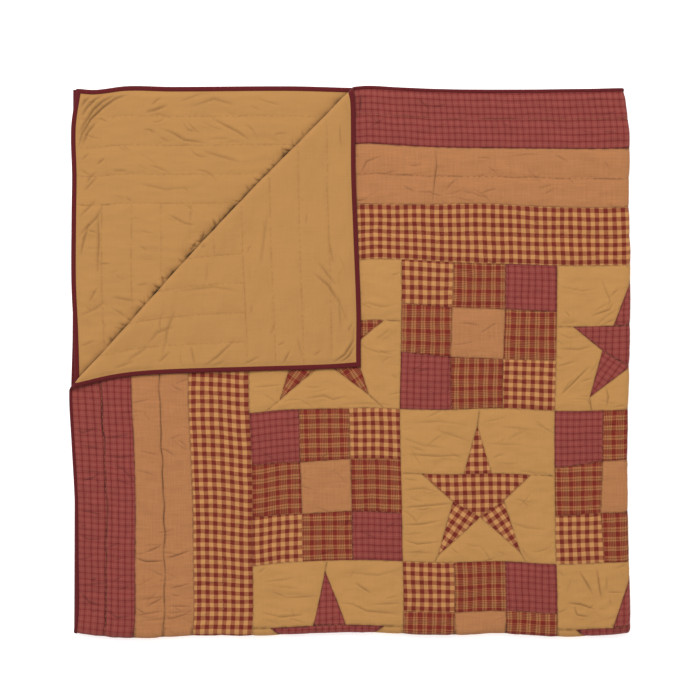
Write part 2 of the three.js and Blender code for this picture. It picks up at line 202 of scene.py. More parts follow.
def turn_corner(u, v):
    """Where a place of the top layer lies once its corner is turned back."""
    least = 1e-6
    top, side, corner = shares_of_corner(u, v)
    from_crease = corner * CORNER_DEPTH
    around = np.clip((from_crease + CREASE_HALF_TURN) / CREASE_FOLD, 0, math.pi)
    reach = CREASE_FOLD * np.sin(around) - CREASE_HALF_TURN
    lift = CREASE_FOLD * (1 - np.cos(around))
    stays = beside_crease(u, v)
    stays = stays + np.where(around > 0, reach - from_crease, 0)[..., None] * towards_corner
    stays[..., 2] += lift

    along = np.clip(side / np.maximum(top + side, least), 0, 1)
    on_crease = beside_crease(CREASE_TOP * (1 - along) - HALF_WIDTH, HALF_LENGTH - CREASE_SIDE * along)
    straight = crease_ends[0] + along[..., None] * (crease_ends[1] - crease_ends[0])
    turned = top[..., None] * crease_ends[0] + side[..., None] * crease_ends[1]
    turned = turned + corner[..., None] * turned_corner + (top + side)[..., None] * (on_crease - straight)
    past = (from_crease - CREASE_HALF_TURN) / (CORNER_DEPTH - CREASE_HALF_TURN)
    back = np.where(past > 0, mix(-CREASE_HALF_TURN, TURNED_DEPTH, past), reach)
    turned = turned + (back - corner * TURNED_DEPTH)[..., None] * towards_corner
    end_share = side / np.where(np.abs(side + corner) > least, side + corner, least)
    side_share = top / np.where(np.abs(top + corner) > least, top + corner, least)
    turned[..., 1] += read(FLAP_END, end_share) * (1 - top) ** 3
    turned[..., 0] += read(FLAP_SIDE, side_share) * (1 - side) ** 3
    settled = mix(FLAP_PITCH, 2 * CREASE_FOLD, plump(from_crease - CREASE_HALF_TURN))
    turned[..., 2] = on_crease[..., 2] + np.where(past > 0, settled, lift)
    return np.where((corner <= 0)[..., None], stays, turned)


# The top layer was smoothed out by hand, which pushed its seams askew: (u, v, reach along u, along v,
# moved right, moved up)
PUSHED = [
    (-1050, 480, 75, 230, 8, 0),
    (-785, 300, 50, 260, 0, -8.5),
    (-780, 390, 70, 110, 3.5, 0),
    (0, 870, 160, 200, 0, -5.5),
    (-450, 765, 130, 60, 0, 6),
    (-315, 885, 90, 50, 0, 4.5),
    (-530, 890, 70, 50, 0, -4),
    (-250, 461, 130, 60, 0, 3.5),
]
# It is held at its edges, its turned crease and its folds, and free again this far from them
HELD_EDGE = (0, 50)
HELD_CREASE = (8, 60)
HELD_FOLD = (15, 90)
HELD_BOTTOM = (25, 120)


def pushed(u, v):
    """Flat places of the top layer, moved within the cloth but not across its edges and folds."""
    from_edge = np.minimum(HALF_WIDTH + u, HALF_LENGTH - v)
    from_crease = -shares_of_corner(u, v)[2] * CORNER_DEPTH
    free = smooth(from_edge, *HELD_EDGE) * smooth(from_crease, *HELD_CREASE)
    free_across = free * smooth(-u, *HELD_FOLD) * (1 - smooth(-v, *HELD_FOLD))
    free_along = free * smooth(v, *HELD_BOTTOM) * (1 - smooth(u, *HELD_FOLD))
    right = up = 0
    for at_u, at_v, reach_u, reach_v, by_u, by_v in PUSHED:
        near = np.exp(-(((u - at_u) / reach_u) ** 2) - ((v - at_v) / reach_v) ** 2)
        right = right + by_u * near * free_across
        up = up + by_v * near * free_along
    return u + right, v + up


def middle(u, v):
    """The middle of the quilt's thickness at a flat place, folded and a little loose here and there."""
    u, v = pushed(u, v)
    place = fold_in_quarters(u, v)
    top_layer = (u < 0) & (v > 0)
    place[top_layer] = turn_corner(u[top_layer], v[top_layer])
    across = np.sin(place[:, 0] / SWELL_ACROSS[0] + SWELL_ACROSS[1])
    along = np.sin(place[:, 1] / SWELL_ALONG[0] + SWELL_ALONG[1])
    place[:, 2] = CROWN + (place[:, 2] - CROWN) * (1 + SWELL * (1 + across * along))
    return place + [SHIFT_RIGHT, SHIFT_UP, 0]


def folded(u, v, height):
    """Points that far off the quilt's middle, towards its patchwork side, once it is folded."""
    step = 0.25
    across = middle(u + step, v) - middle(u - step, v)
    along = middle(u, v + step) - middle(u, v - step)
    out = np.cross(across, along)
    out = out / np.linalg.norm(out, axis=1, keepdims=True)
    return middle(u, v) + out * height[:, None]


# The creases: each is a trough in the layer that shows there, seen from above, as its
# points in millimetres from the quilt's middle, its depth and half of its width. Handling made them.
FACE_CREASES = [
    # star block with the checked star
    ([(119, -191), (178, -195), (231, -193)], 1.3, 3.4),
    ([(112, -158), (153, -173), (198, -177)], 0.7, 4),
    ([(180, -140), (248, -164)], 0.8, 4),
    ([(110, -301), (161, -297), (213, -292)], 1.6, 3.4),
    ([(110, -337), (151, -335), (190, -327)], 1.4, 3.2),
    ([(112, -368), (141, -376), (184, -372)], 1.4, 3.2),
    ([(110, -393), (174, -394)], 0.9, 3.4),
    ([(285, -169), (355, -171)], 0.7, 3.6),
    ([(355, -286), (369, -298)], 1.0, 3.2),
    ([(112, -241), (143, -245)], 0.8, 3.4),
    ([(112, -265), (151, -261), (184, -269)], 0.9, 3.4),
    ([(348, -224), (400, -232)], 0.7, 4),
    ([(318, -327), (369, -343), (414, -347)], 0.7, 4),
    ([(126, -127), (184, -123), (246, -130)], 0.6, 4),
    ([(307, -132), (390, -142)], 0.5, 4),
    # star block beside the turned corner
    ([(-198, -53), (-139, -47)], 1.0, 3.4),
    ([(-89, -76), (-52, -70), (-34, -78), (-7, -72)], 1.2, 3.2),
    ([(24, 125), (71, 113), (98, 119)], 0.8, 4),
    ([(22, 33), (61, 19), (98, 23)], 0.8, 4),
    ([(-22, -88), (40, -86), (94, -90)], 0.7, 3.6),
    # star block on the right fold
    ([(540, 136), (554, 150)], 1.2, 3.2),
    ([(544, 121), (536, 107), (501, 95)], 1.6, 3.2),
    ([(445, 105), (455, 93)], 1.0, 3),
    ([(429, 27), (474, 25), (503, 33)], 1.1, 3.4),
    ([(429, -10), (464, 0)], 1.0, 3.2),
    ([(435, -70), (472, -33), (494, -12)], 1.9, 3.0),
    ([(529, -53), (534, -72), (531, -93)], 1.6, 3.2),
    ([(490, -78), (501, -93)], 1.3, 3),
    ([(431, 156), (482, 146), (513, 152)], 0.6, 4),
    ([(521, 167), (538, 125), (531, 107)], 1.0, 3.6),
    ([(429, 60), (453, 49), (478, 51)], 0.7, 3.4),
    # star block on the bottom fold
    ([(-131, -487), (-63, -483)], 0.9, 3.4),
    ([(-151, -528), (-94, -522)], 0.9, 3.4),
    ([(13, -456), (44, -477)], 1.6, 3.2),
    ([(-15, -498), (7, -500), (36, -514), (102, -520)], 1.4, 3.2),
    ([(48, -500), (106, -498)], 1.0, 3.4),
    ([(-188, -436), (-172, -424)], 1.0, 3),
    ([(-166, -461), (-104, -467)], 0.6, 4),
    ([(-11, -434), (61, -440), (98, -430)], 0.7, 4),
    # star block in the lower right corner
    ([(511, -428), (517, -471), (521, -489)], 1.9, 3.2),
    ([(476, -434), (497, -469), (501, -479)], 2.0, 3.2),
    ([(451, -498), (476, -500), (505, -510)], 2.1, 3.2),
    ([(464, -506), (470, -522), (492, -526)], 1.9, 3.2),
    ([(538, -489), (538, -500)], 1.2, 3),
    ([(531, -444), (531, -471)], 1.2, 3),
    ([(531, -475), (564, -475)], 1.2, 3),
    ([(427, -520), (449, -510)], 1.0, 3),
    # border strips
    ([(178, 440), (180, 403), (176, 372), (172, 329)], 1.5, 2.8),
    ([(318, 545), (332, 557)], 1.3, 3.2),
    ([(143, 541), (166, 520)], 1.2, 3),
    ([(22, 516), (24, 553)], 1.7, 4),
    ([(24, 389), (36, 413), (65, 424)], 1.2, 3.4),
    ([(-566, -409), (-525, -401)], 0.9, 3.6),
    ([(-556, -461), (-494, -456)], 0.9, 3.6),
    ([(-433, -491), (-371, -483)], 0.9, 3.6),
    ([(-433, -533), (-340, -528)], 0.9, 3.6),
    ([(-318, -461), (-227, -450)], 0.9, 3.6),
    ([(-556, -224), (-474, -232)], 0.7, 4),
    ([(-433, -183), (-392, -193)], 0.7, 4),
    ([(-552, -245), (-531, -241), (-515, -230)], 1.5, 3),
    ([(-556, -308), (-531, -310), (-510, -318)], 1.1, 3.2),
    ([(-564, -352), (-540, -366), (-510, -366)], 1.1, 3.2),
    ([(-566, -142), (-548, -146), (-519, -136)], 1.1, 3.2),
    ([(-552, -173), (-515, -179)], 1.1, 3.2),
    ([(-503, -158), (-453, -150)], 1.1, 3.2),
    ([(-503, -195), (-453, -199)], 1.0, 3.4),
    ([(-420, -393), (-404, -387), (-387, -378)], 1.5, 3),
    ([(-441, -405), (-420, -412), (-383, -411)], 1.9, 3),
    ([(-373, -403), (-355, -399), (-330, -390)], 1.7, 3),
    ([(-441, -508), (-420, -520)], 1.2, 3),
    ([(-416, -504), (-385, -487)], 1.3, 3),
    ([(-441, -524), (-383, -514)], 1.2, 3),
    ([(-367, -467), (-330, -458)], 1.4, 3),
    ([(-375, -504), (-326, -504)], 1.2, 3),
    ([(-375, -532), (-334, -520)], 1.2, 3),
    ([(-556, -475), (-536, -496), (-511, -504)], 1.3, 3),
    ([(-503, -512), (-478, -528), (-449, -524)], 1.3, 3),
    ([(-176, -454), (-118, -447)], 0.9, 3.4),
    ([(-183, -517), (-138, -527), (-97, -522)], 1.0, 3.4),
]
UNDER_CREASES = [
    ([(-558, 522), (-546, 539), (-531, 552)], 1.9, 6),
    ([(-554, 506), (-541, 526), (-523, 544), (-500, 555)], 2.1, 6),
    ([(-559, 470), (-549, 490), (-528, 521), (-508, 539), (-482, 553)], 2.3, 5.6),
    ([(-562, 439), (-552, 470), (-534, 501), (-508, 526), (-482, 544), (-456, 553)], 2.6, 4.6),
    ([(-551, 449), (-539, 475), (-523, 493)], 1.7, 5),
    ([(-552, 417), (-538, 430)], 1.3, 3.4),
    ([(-420, 516), (-404, 519), (-388, 525), (-375, 530)], 1.6, 5),
    ([(-408, 530), (-396, 541), (-388, 545)], 1.2, 4),
    ([(-423, 480), (-412, 479), (-402, 473)], 1.3, 4),
    ([(-388, 481), (-369, 475), (-340, 458), (-295, 452)], 1.5, 4.5),
    ([(-521, 407), (-505, 421)], 1.3, 4),
    ([(-488, 395), (-460, 394)], 1.0, 4),
    ([(-542, 370), (-534, 382), (-525, 389)], 1.5, 4),
    ([(-548, 352), (-519, 384)], 1.2, 4.4),
    ([(-324, 528), (-279, 543), (-237, 530)], 1.1, 5),
    ([(-279, 500), (-227, 473), (-207, 458)], 1.6, 4),
    ([(-299, 434), (-227, 413)], 1.0, 5),
    ([(-351, 537), (-309, 553), (-279, 555)], 1.0, 4),
    ([(-556, 300), (-525, 331)], 1.3, 4.4),
    ([(-560, 259), (-521, 298), (-511, 319)], 1.5, 4.4),
    ([(-556, 218), (-548, 253), (-536, 290)], 1.7, 4.4),
    ([(-519, 304), (-517, 249), (-521, 183)], 1.6, 4.4),
    ([(-536, 125), (-521, 152)], 1.2, 4),
    ([(-490, 134), (-443, 125)], 1.1, 4.4),
    ([(-511, 88), (-505, 72)], 1.0, 4),
    ([(-556, 95), (-525, 109), (-503, 125)], 1.0, 5),
    ([(-375, 304), (-340, 286), (-320, 282)], 1.2, 3.6),
    ([(-540, 271), (-521, 267)], 1.2, 3.4),
    ([(-552, 33), (-525, 43)], 1.0, 4),
    ([(-433, 368), (-381, 356), (-330, 360)], 0.8, 5),
    ([(-299, 268), (-303, 257), (-309, 243)], 3.2, 4.6),
    ([(-315, 248), (-321, 239), (-328, 230)], 2.6, 4.2),
]
FLAP_CREASES = [
    ([(11, 68), (8, 42), (-10, 14), (-40, -7)], 2.6, 3.4),
    ([(12, 34), (0, 12), (-22, -5)], 2.3, 3.2),
    ([(-46, 160), (-20, 122), (-4, 84)], 1.0, 3.4),
    ([(7, 80), (-3, 62)], 1.2, 3.4),
    ([(-122, 23), (-137, -6)], 1.6, 3.4),
    ([(-186, 10), (-217, -6)], 1.3, 3.4),
    ([(-237, 43), (-272, 10), (-299, -10)], 1.6, 4),
    ([(-256, 2), (-285, -12)], 1.2, 3.4),
    ([(-361, 101), (-375, 64), (-379, 33)], 1.2, 6),
    ([(-326, 33), (-318, -8)], 1.2, 4),
    ([(-71, 181), (-42, 156), (-26, 125)], 1.4, 5),
    ([(-63, 204), (-30, 160)], 1.1, 5),
    ([(-412, 39), (-396, 60), (-361, 72)], 1.1, 6),
    ([(-392, -2), (-371, 19)], 1.2, 4),
    ([(-42, 249), (-34, 204)], 1.0, 6),
    ([(-457, 2), (-412, 33)], 1.0, 6),
    ([(-484, -14), (-443, 2)], 1.0, 5),
    ([(-73, 12), (-59, 23)], 1.0, 4),
    ([(-22, 136), (-17, 64)], 0.9, 5),
    ([(-170, 300), (-182, 204)], 0.8, 7),
    ([(-351, 146), (-279, 154), (-227, 146)], 0.8, 6),
    ([(-322, 263), (-310, 252), (-298, 236)], 3.0, 4.0),
]


# A crease's shape, in shares of its depth and its width
TROUGH_WIDTH = 0.62
TROUGH_DEPTH = 1.5
SHOULDER_WIDTH = 2.2
SHOULDER_RISE = 0.75
# and the painted shade at its bottom: its width and its strength
CREASE_SHADE_WIDTH = 0.34
CREASE_SHADE = 0.72
NEAR_WIDTHS = 4  # past this many widths nothing of it is left


def off_segment(points, start, end):
    """Distance of each point from a segment, and the share of the way along it."""
    start, end = np.array(start, float), np.array(end, float)
    way = end - start
    share = np.clip((points - start) @ way / (way @ way), 0, 1)
    return np.linalg.norm(points - start - share[:, None] * way, axis=1), share


def bell(off, reach):
    """1 at a line and falling away to both sides of it."""
    return np.exp(-((off / reach) ** 2))


def creased(points, creases):
    """Rise of the cloth by its creases, and the painted shade at their bottoms, at places of the folded
    quilt.
    Each crease is a narrow trough between soft shoulders, and fades out at its two ends."""
    rise = np.zeros(len(points))
    dark = np.zeros(len(points))
    for line, depth, width in creases:
        line = np.array(line, float)
        low = line.min(0) - NEAR_WIDTHS * width
        high = line.max(0) + NEAR_WIDTHS * width
        near = np.flatnonzero(np.all((points > low) & (points < high), axis=1))
        if not len(near):
            continue
        lengths = np.linalg.norm(np.diff(line, axis=0), axis=1)
        total = lengths.sum()
        best = np.full(len(near), np.inf)
        way = np.zeros(len(near))
        before = 0
        for start, end, length in zip(line, line[1:], lengths):
            off, share = off_segment(points[near], start, end)
            closer = off < best
            way[closer] = (before + share[closer] * length) / total
            best = np.minimum(best, off)
            before += length
        fade = np.sin(np.clip(way, 0.02, 0.98) * math.pi) ** 0.6
        trough = bell(best, TROUGH_WIDTH * width)
        shoulder = bell(best, SHOULDER_WIDTH * width)
        rise[near] += depth * fade * (SHOULDER_RISE * shoulder - TROUGH_DEPTH * trough)
        # painted shade along the crease's bottom
        bottom = bell(best, CREASE_SHADE_WIDTH * width)
        dark[near] = np.maximum(dark[near], CREASE_SHADE * depth * fade * bottom)
    return rise, dark


WRINKLE_BEND = 0.11
WRINKLE_HALF = (7, 24)  # half of its length
WRINKLE_DEPTH = (0.3, 1.05)
WRINKLE_WIDTH = (2.4, 3.6)


def small_wrinkles(seed, count, low, high, slant, spread):
    """Short shallow creases strewn over an area, most of them near one direction."""
    draw = np.random.RandomState(seed)
    wrinkles = []
    for _ in range(count):
        x = draw.uniform(low[0], high[0])
        y = draw.uniform(low[1], high[1])
        way = slant + draw.normal(0, spread)
        bend = draw.normal(0, WRINKLE_BEND)
        half = draw.uniform(*WRINKLE_HALF)
        line = [
            (
                x + half * (at * math.cos(way) - bend * at * at * math.sin(way)),
                y + half * (at * math.sin(way) + bend * at * at * math.cos(way)),
            )
            for at in (-1, -0.5, 0, 0.5, 1)
        ]
        wrinkles.append((line, draw.uniform(*WRINKLE_DEPTH), draw.uniform(*WRINKLE_WIDTH)))
    return wrinkles


FACE_WRINKLES = small_wrinkles(5, 520, (-575, -575), (575, 575), 0, 0.5)
UNDER_WRINKLES = small_wrinkles(6, 150, (-575, 0), (0, 575), -0.3, 0.35)
FLAP_WRINKLES = small_wrinkles(8, 60, (-575, -20), (20, 575), 1.45, 0.3)


def unfolded(places, flat):
    """The flat places that lie at these points of the folded quilt, found from a first guess."""
    step = 0.5
    farthest = 40
    for _ in range(6):
        at = middle(flat[:, 0], flat[:, 1])[:, :2]
        across = (middle(flat[:, 0] + step, flat[:, 1])[:, :2] - at) / step
        along = (middle(flat[:, 0], flat[:, 1] + step)[:, :2] - at) / step
        miss = places - at
        size = across[:, 0] * along[:, 1] - across[:, 1] * along[:, 0]
        by_u = (miss[:, 0] * along[:, 1] - miss[:, 1] * along[:, 0]) / size
        by_v = (across[:, 0] * miss[:, 1] - across[:, 1] * miss[:, 0]) / size
        flat = flat + np.clip(np.stack([by_u, by_v], 1), -farthest, farthest)
    return flat


def on_top(places):
    """A first guess at the flat places of the top layer that lie there."""
    return places + [-FOLDED_WIDTH / 2, FOLDED_LENGTH / 2]


def on_under(places):
    return places * [-1, 1] + [FOLDED_WIDTH / 2, FOLDED_LENGTH / 2]


def on_flap(places):
    ends = np.array([crease_ends[0], crease_ends[1]])[:, :2] - turned_corner[:2]
    top, side = np.linalg.solve(ends.T, (places - turned_corner[:2]).T)
    return np.stack([top * CREASE_TOP - HALF_WIDTH, HALF_LENGTH - side * CREASE_SIDE], 1)


def flat_creases(creases, guess):
    """The creases of one layer as straight lines in the flat cloth, for its mesh to follow."""
    points = np.array([point for line, *_ in creases for point in line], float)
    flat = unfolded(points, guess(points))
    found = np.linalg.norm(middle(flat[:, 0], flat[:, 1])[:, :2] - points, axis=1) < 1
    rows, start = [], 0
    for line, *_ in creases:
        for n in range(start, start + len(line) - 1):
            if found[n] and found[n + 1]:
                rows.append((flat[n], flat[n + 1]))
        start += len(line)
    return rows


def crinkle(points, spacing, seed):
    """Soft uneven ripples of about that spacing across and along, from -1 to 1."""
    across, along = spacing
    return np.array([noise.noise(Vector((x / across, y / along, seed))) for x, y in points])


# The star blocks. Each is nine pieces of cloth: a five-pointed star in plaid or check, pieced from its
# top point, its body with both arms and two legs, and six plain pieces round it. The pieces are seamed
# together by machine, and each seam lies in a shallow trough where the quilting holds it down.
FINE = 3.3  # spacing of a sheet's points where it shows
COARSE = 19  # and where other layers hide it
TROUGH_RINGS = (1.3, 3.6)  # points beside a stitched line
PUFF = 9  # the padding has risen most of the way this far from a stitched line
EXTRA_CROWN = 0.9  # the layer on top is free to rise this much more
CREASE_STEP = 2.6  # spacing of the points along a crease
CREASE_RING = 1.3  # and on both sides of it
COLUMN_SEAMS = [-780.5, -469, -150.5, 150.5, 469, 780.5]
ROW_SEAMS = [-769.5, -467, -153.5, 153.5, 467, 769.5]
BLOCK_WIDTH = 318.5  # of the block that the star's points were measured on
BLOCK_HEIGHT = 313.5
BINDING_WIDTH = 8  # on the backing
NARROW_BINDING = 5.2  # and on the patchwork


class Wire:
    """A socket of a material's nodes, which Python's own operators can join to others."""

    def __init__(self, tree, socket=None):
        self.tree = tree
        self.socket = socket

    def node(self, kind, settings=None, sockets=None, out=0):
        made = self.tree.nodes.new("ShaderNode" + kind)
        for name, value in (settings or {}).items():
            if name == "stops":
                ramp = made.color_ramp
                while len(ramp.elements) < len(value):
                    ramp.elements.new(1)
                for stop, (at, colour) in zip(ramp.elements, value):
                    stop.position = at
                    stop.color = colour
            elif name == "between":
                made.color_ramp.interpolation = value
            else:
                setattr(made, name, value)
        for name, value in (sockets or {}).items():
            port = made.inputs[name]
            if isinstance(value, Wire):
                self.tree.links.new(value.socket, port)
            else:
                port.default_value = value
        return Wire(self.tree, made.outputs[out])

    def maths(self, operation, *values):
        return self.node("Math", {"operation": operation}, dict(enumerate(values)))

    def __add__(self, other):
        return self.maths("ADD", self, other)

    __radd__ = __add__

    def __sub__(self, other):
        return self.maths("SUBTRACT", self, other)

    def __rsub__(self, other):
        return self.maths("SUBTRACT", other, self)

    def __mul__(self, other):
        return self.maths("MULTIPLY", self, other)

    __rmul__ = __mul__

    def __mod__(self, other):
        return self.maths("FLOORED_MODULO", self, other)


def dye(red, green, blue):
    """The square root of a yarn's linear colour, from how it shows on a screen, from 0 to 255. Yarns are
    mixed as roots and squared at the end, since crossed yarns shade each other and look darker."""
    shares = [value / 255 for value in (red, green, blue)]
    linear = [s / 12.92 if s < 0.04045 else ((s + 0.055) / 1.055) ** 2.4 for s in shares]
    return (*[math.sqrt(s) for s in linear], 1)


def striped(wire, at, stripes):
    """The colour of the yarn at this place across the cloth, from the stripes of one repeat."""
    repeat = sum(width for width, _ in stripes)
    stops, start = [], 0
    for width, colour in stripes:
        stops.append((start / repeat, colour))
        start += width
    if len(stops) == 1:
        stops.append((1, stops[0][1]))
    share = (at * (1 / repeat)) % 1
    return wire.node("ValToRGB", {"between": "CONSTANT", "stops": stops}, {"Fac": share})


THREAD = 0.55  # width of a yarn
WOBBLE = 1.4  # the stripes wander this far from straight here and there
DRIFT = 6  # and over a whole piece
UNDER_SHARE = 0.35  # of a yarn's colour that shows where it dips under the other
OVER_EXTRA = 0.3  # and that it gains where it lies over it
WARP_STREAKS = (0.45, 0.018, 1)  # the yarns' unevenness, by how fast it changes across and along
WEFT_STREAKS = (0.018, 0.45, 1)
STREAK_REACH = 2.6
MOTTLE = 0.1
ROUGHNESS = 0.9
ROUGHNESS_REACH = 0.12
YARN_RELIEF = 0.1
STREAK_RELIEF = 0.25


def woven(name, warp, weft, streak=0.1, ditch=0.3):
    """A plain weave of dyed yarns, with the warp running along v and the weft along u. streak says how
    uneven its yarns are, and ditch how strongly the painted shade in its seams, creases and by the turned
    edge darkens it."""
    material = bpy.data.materials.new(name)
    material.use_nodes = True
    tree = material.node_tree
    shader = tree.nodes["Principled BSDF"]
    wire = Wire(tree)
    place = wire.node("UVMap", {"uv_map": "cloth"})
    flat = place.node("VectorMath", {"operation": "SCALE"}, {0: place, "Scale": 1 / MM})
    across = flat.node("SeparateXYZ", sockets={0: flat})
    along = Wire(tree, across.socket.node.outputs[1])
    wander = flat.node("TexNoise", sockets={"Vector": flat, "Scale": 0.09, "Detail": 2})
    broad = wire.node("TexNoise", sockets={"Vector": flat, "Scale": 0.012, "Detail": 3})
    bend = (wander - 0.5) * WOBBLE + (broad - 0.5) * DRIFT
    warp_colour = striped(wire, across + bend, warp)
    weft_colour = striped(wire, along - bend, weft)

    over = (across.maths("FLOOR", across * (1 / THREAD)) + along.maths("FLOOR", along * (1 / THREAD))) % 2
    mixed = wire.node(
        "Mix",
        {"data_type": "RGBA"},
        {"Factor": over * OVER_EXTRA + UNDER_SHARE, "A": warp_colour, "B": weft_colour},
        out=2,
    )
    streaks = []
    for scale in (WARP_STREAKS, WEFT_STREAKS):
        stretched = flat.node("VectorMath", {"operation": "MULTIPLY"}, {0: flat, 1: scale})
        streaks.append(wire.node("TexNoise", sockets={"Vector": stretched, "Scale": 1, "Detail": 2}))
    streaks = streaks[0] + streaks[1]
    # the painted shade kept on each point: along seams, stitched rows and creases, and below the turned
    # edge
    trough = wire.node("Attribute", {"attribute_name": "ditch"}, out=2)
    shade = 1 + (streaks - 1) * (STREAK_REACH * streak) + (broad - 0.5) * MOTTLE - trough * ditch
    squared = wire.node("VectorMath", {"operation": "MULTIPLY"}, {0: mixed, 1: mixed})
    colour = wire.node("VectorMath", {"operation": "SCALE"}, {0: squared, "Scale": shade})
    tree.links.new(colour.socket, shader.inputs["Base Color"])
    rough = ROUGHNESS + (broad - 0.5) * ROUGHNESS_REACH
    tree.links.new(rough.socket, shader.inputs["Roughness"])
    shader.inputs["Specular IOR Level"].default_value = 0.15
    shader.inputs["Sheen Weight"].default_value = 0.05
    shader.inputs["Sheen Roughness"].default_value = 0.6

    ripple = wire.node("TexNoise", sockets={"Vector": flat, "Scale": 0.11, "Detail": 3})
    relief = over * YARN_RELIEF + streaks * STREAK_RELIEF + ripple
    bump = wire.node("Bump", sockets={"Strength": 0.5, "Distance": MM, "Height": relief})
    tree.links.new(bump.socket, shader.inputs["Normal"])
    return material


def plain(name, yarn, **finish):
    return woven(name, [(1, yarn)], [(1, yarn)], **finish)


muslin = plain("muslin", dye(182, 133, 77), streak=0.04, ditch=0.34)

# Burgundy plaid: a dusty red ground with fine dark lines each way and paler ones between them
PLAID_GROUND = dye(138, 64, 57)
PLAID_LINE = dye(106, 31, 31)
PLAID_FAINT = dye(115, 40, 39)
PLAID_PALE = dye(150, 79, 69)
burgundy_plaid = woven(
    "burgundy_plaid",
    [(3.0, PLAID_LINE), (4.6, PLAID_GROUND), (1.4, PLAID_PALE), (4.8, PLAID_GROUND)],
    [(2.6, PLAID_FAINT), (4.4, PLAID_GROUND), (1.4, PLAID_PALE), (4.4, PLAID_GROUND)],
    streak=0.12,
    ditch=0.5,
)

# Gingham: equal bars of tan and burgundy yarn each way
GINGHAM_BARS = [(8.9, dye(112, 38, 27)), (8.9, dye(190, 135, 82))]
gingham = woven("gingham", GINGHAM_BARS, GINGHAM_BARS, streak=0.05, ditch=0.2)

# Multi-plaid: broad burgundy bars with tan and olive between them, and fine pale lines in the weft
MULTI_RED = dye(117, 37, 26)
MULTI_TAN = dye(172, 111, 70)
MULTI_OLIVE = dye(116, 74, 38)
MULTI_BROWN = dye(92, 44, 28)
multi_plaid = woven(
    "multi_plaid",
    [(9.0, MULTI_RED), (1.4, MULTI_BROWN), (3.4, MULTI_TAN), (2.2, MULTI_OLIVE), (3.8, MULTI_TAN)],
    [
        (8.4, MULTI_RED),
        (2.0, MULTI_TAN),
        (2.2, MULTI_OLIVE),
        (1.8, MULTI_TAN),
        (1.4, MULTI_BROWN),
        (1.7, MULTI_TAN),
        (1.4, MULTI_BROWN),
        (1.8, MULTI_TAN),
        (1.8, MULTI_RED),
        (1.9, MULTI_TAN),
    ],
)

PAST_RIGHT = 14  # the top layer shows this far round the right fold
PAST_BOTTOM = 24  # and round the bottom fold
RIGHT_LINES = (1.8, 5)  # spacing of the rows of points round each fold, and how many on each side
BOTTOM_LINES = (3.0, 8)
CREASE_LINES = (2.0, 5)
RIGHT_ROOM = 10.4  # no other points come this near to the middle of each fold
BOTTOM_ROOM = 25.5
CREASE_ROOM = 11.6
ROW_STEP = 6.0  # spacing of the points along those rows
MARK_ROOM = 1.0  # an edge's even points keep this far from those round a fold
END_ROOM = 0.8  # and those round a fold this far from its ends
LEAST_GAP = 0.3
LINE_ROOM = 2.0  # points on a stitched line or a crease keep this far from a patch's own sides
RING_ROOM = 3.0  # and those beside a stitched line this far
FOLD_ROOM = 2.4  # and those round the folds
COARSE_ROOM = 8  # and the wide-apart ones
CREASE_GAP = 2.5  # the fine points keep this far from a crease
MERGED = 0.9  # of the points in a square of this size one is kept


def corner_share(u, v):
    return shares_of_corner(u, v)[2]


def off_crease(u, v):
    """How far a flat place is from the turned corner's crease, on the corner's side of it."""
    return corner_share(u, v) * CORNER_DEPTH


def face_shows(u, v):
    """Whether the patchwork side of the quilt shows at a flat place, from above or round the folds."""
    return (u < PAST_RIGHT) & (v > -PAST_BOTTOM) & (corner_share(u, v) < 0.03)


def fold_marks(a, b):
    """Shares of the way from a to b at which the cloth needs a point to bend round a fold."""
    (au, av), (bu, bv) = a, b
    marks = []
    crossings = [(au, bu, *RIGHT_LINES), (av, bv, *BOTTOM_LINES)]
    if max(au, bu) <= 0 <= min(av, bv):
        crossings.append((off_crease(au, av), off_crease(bu, bv), *CREASE_LINES))
    for start, end, step, count in crossings:
        if abs(end - start) < 1e-6:
            continue
        for n in range(-count, count + 1):
            share = (n * step - start) / (end - start)
            if 0 < share < 1:
                marks.append(share)
    return np.array(marks)


def points_along(a, b, shows, spacing):
    """Points from a to b, the same ones from either end."""
    turned = tuple(a) > tuple(b)
    if turned:
        a, b = b, a
    length = math.dist(a, b)
    probe = np.linspace(0, 1, max(3, int(length / COARSE)))
    line = np.array(a) + probe[:, None] * (np.array(b) - np.array(a))
    step = spacing if shows(line[:, 0], line[:, 1]).any() else COARSE
    shares = np.linspace(0, 1, max(1, round(length / step)) + 1)
    marks = fold_marks(a, b)
    if len(marks):
        clear = np.abs(shares[:, None] - marks[None, :]).min(1) * length > MARK_ROOM
        clear[[0, -1]] = True
        marks = marks[(marks * length > END_ROOM) & ((1 - marks) * length > END_ROOM)]
        shares = np.unique(np.round(np.concatenate([shares[clear], marks]), 9))
        gaps = np.diff(shares) * length > LEAST_GAP
        shares = shares[np.concatenate([[True], gaps])]
        shares[-1] = 1
    points = np.array(a) + shares[:, None] * (np.array(b) - np.array(a))
    return points[::-1] if turned else points


def hex_grid(low, high, step):
    rise = step * math.sqrt(3) / 2
    v = np.arange(math.ceil(low[1] / rise), high[1] / rise)
    u = np.arange(math.ceil(low[0] / step) - 1, high[0] / step)
    grid_u, grid_v = np.meshgrid(u, v)
    return np.stack([((grid_u + 0.5 * (grid_v % 2)) * step).ravel(), (grid_v * rise).ravel()], axis=1)


def inside(points, outline):
    within = np.zeros(len(points), bool)
    for (au, av), (bu, bv) in zip(outline, outline[1:] + outline[:1]):
        if av == bv:
            continue
        crosses = (av > points[:, 1]) != (bv > points[:, 1])
        within ^= crosses & (points[:, 0] < (bu - au) * (points[:, 1] - av) / (bv - av) + au)
    return within


def middle_inside(row, outline):
    return inside(np.array([np.mean(row, axis=0)]), outline)[0]


def beside(line, gap):
    """Copies of a line of points on both sides of it."""
    way = line[-1] - line[0]
    out = np.array([-way[1], way[0]]) / np.linalg.norm(way)
    return [line + out * gap, line - out * gap]


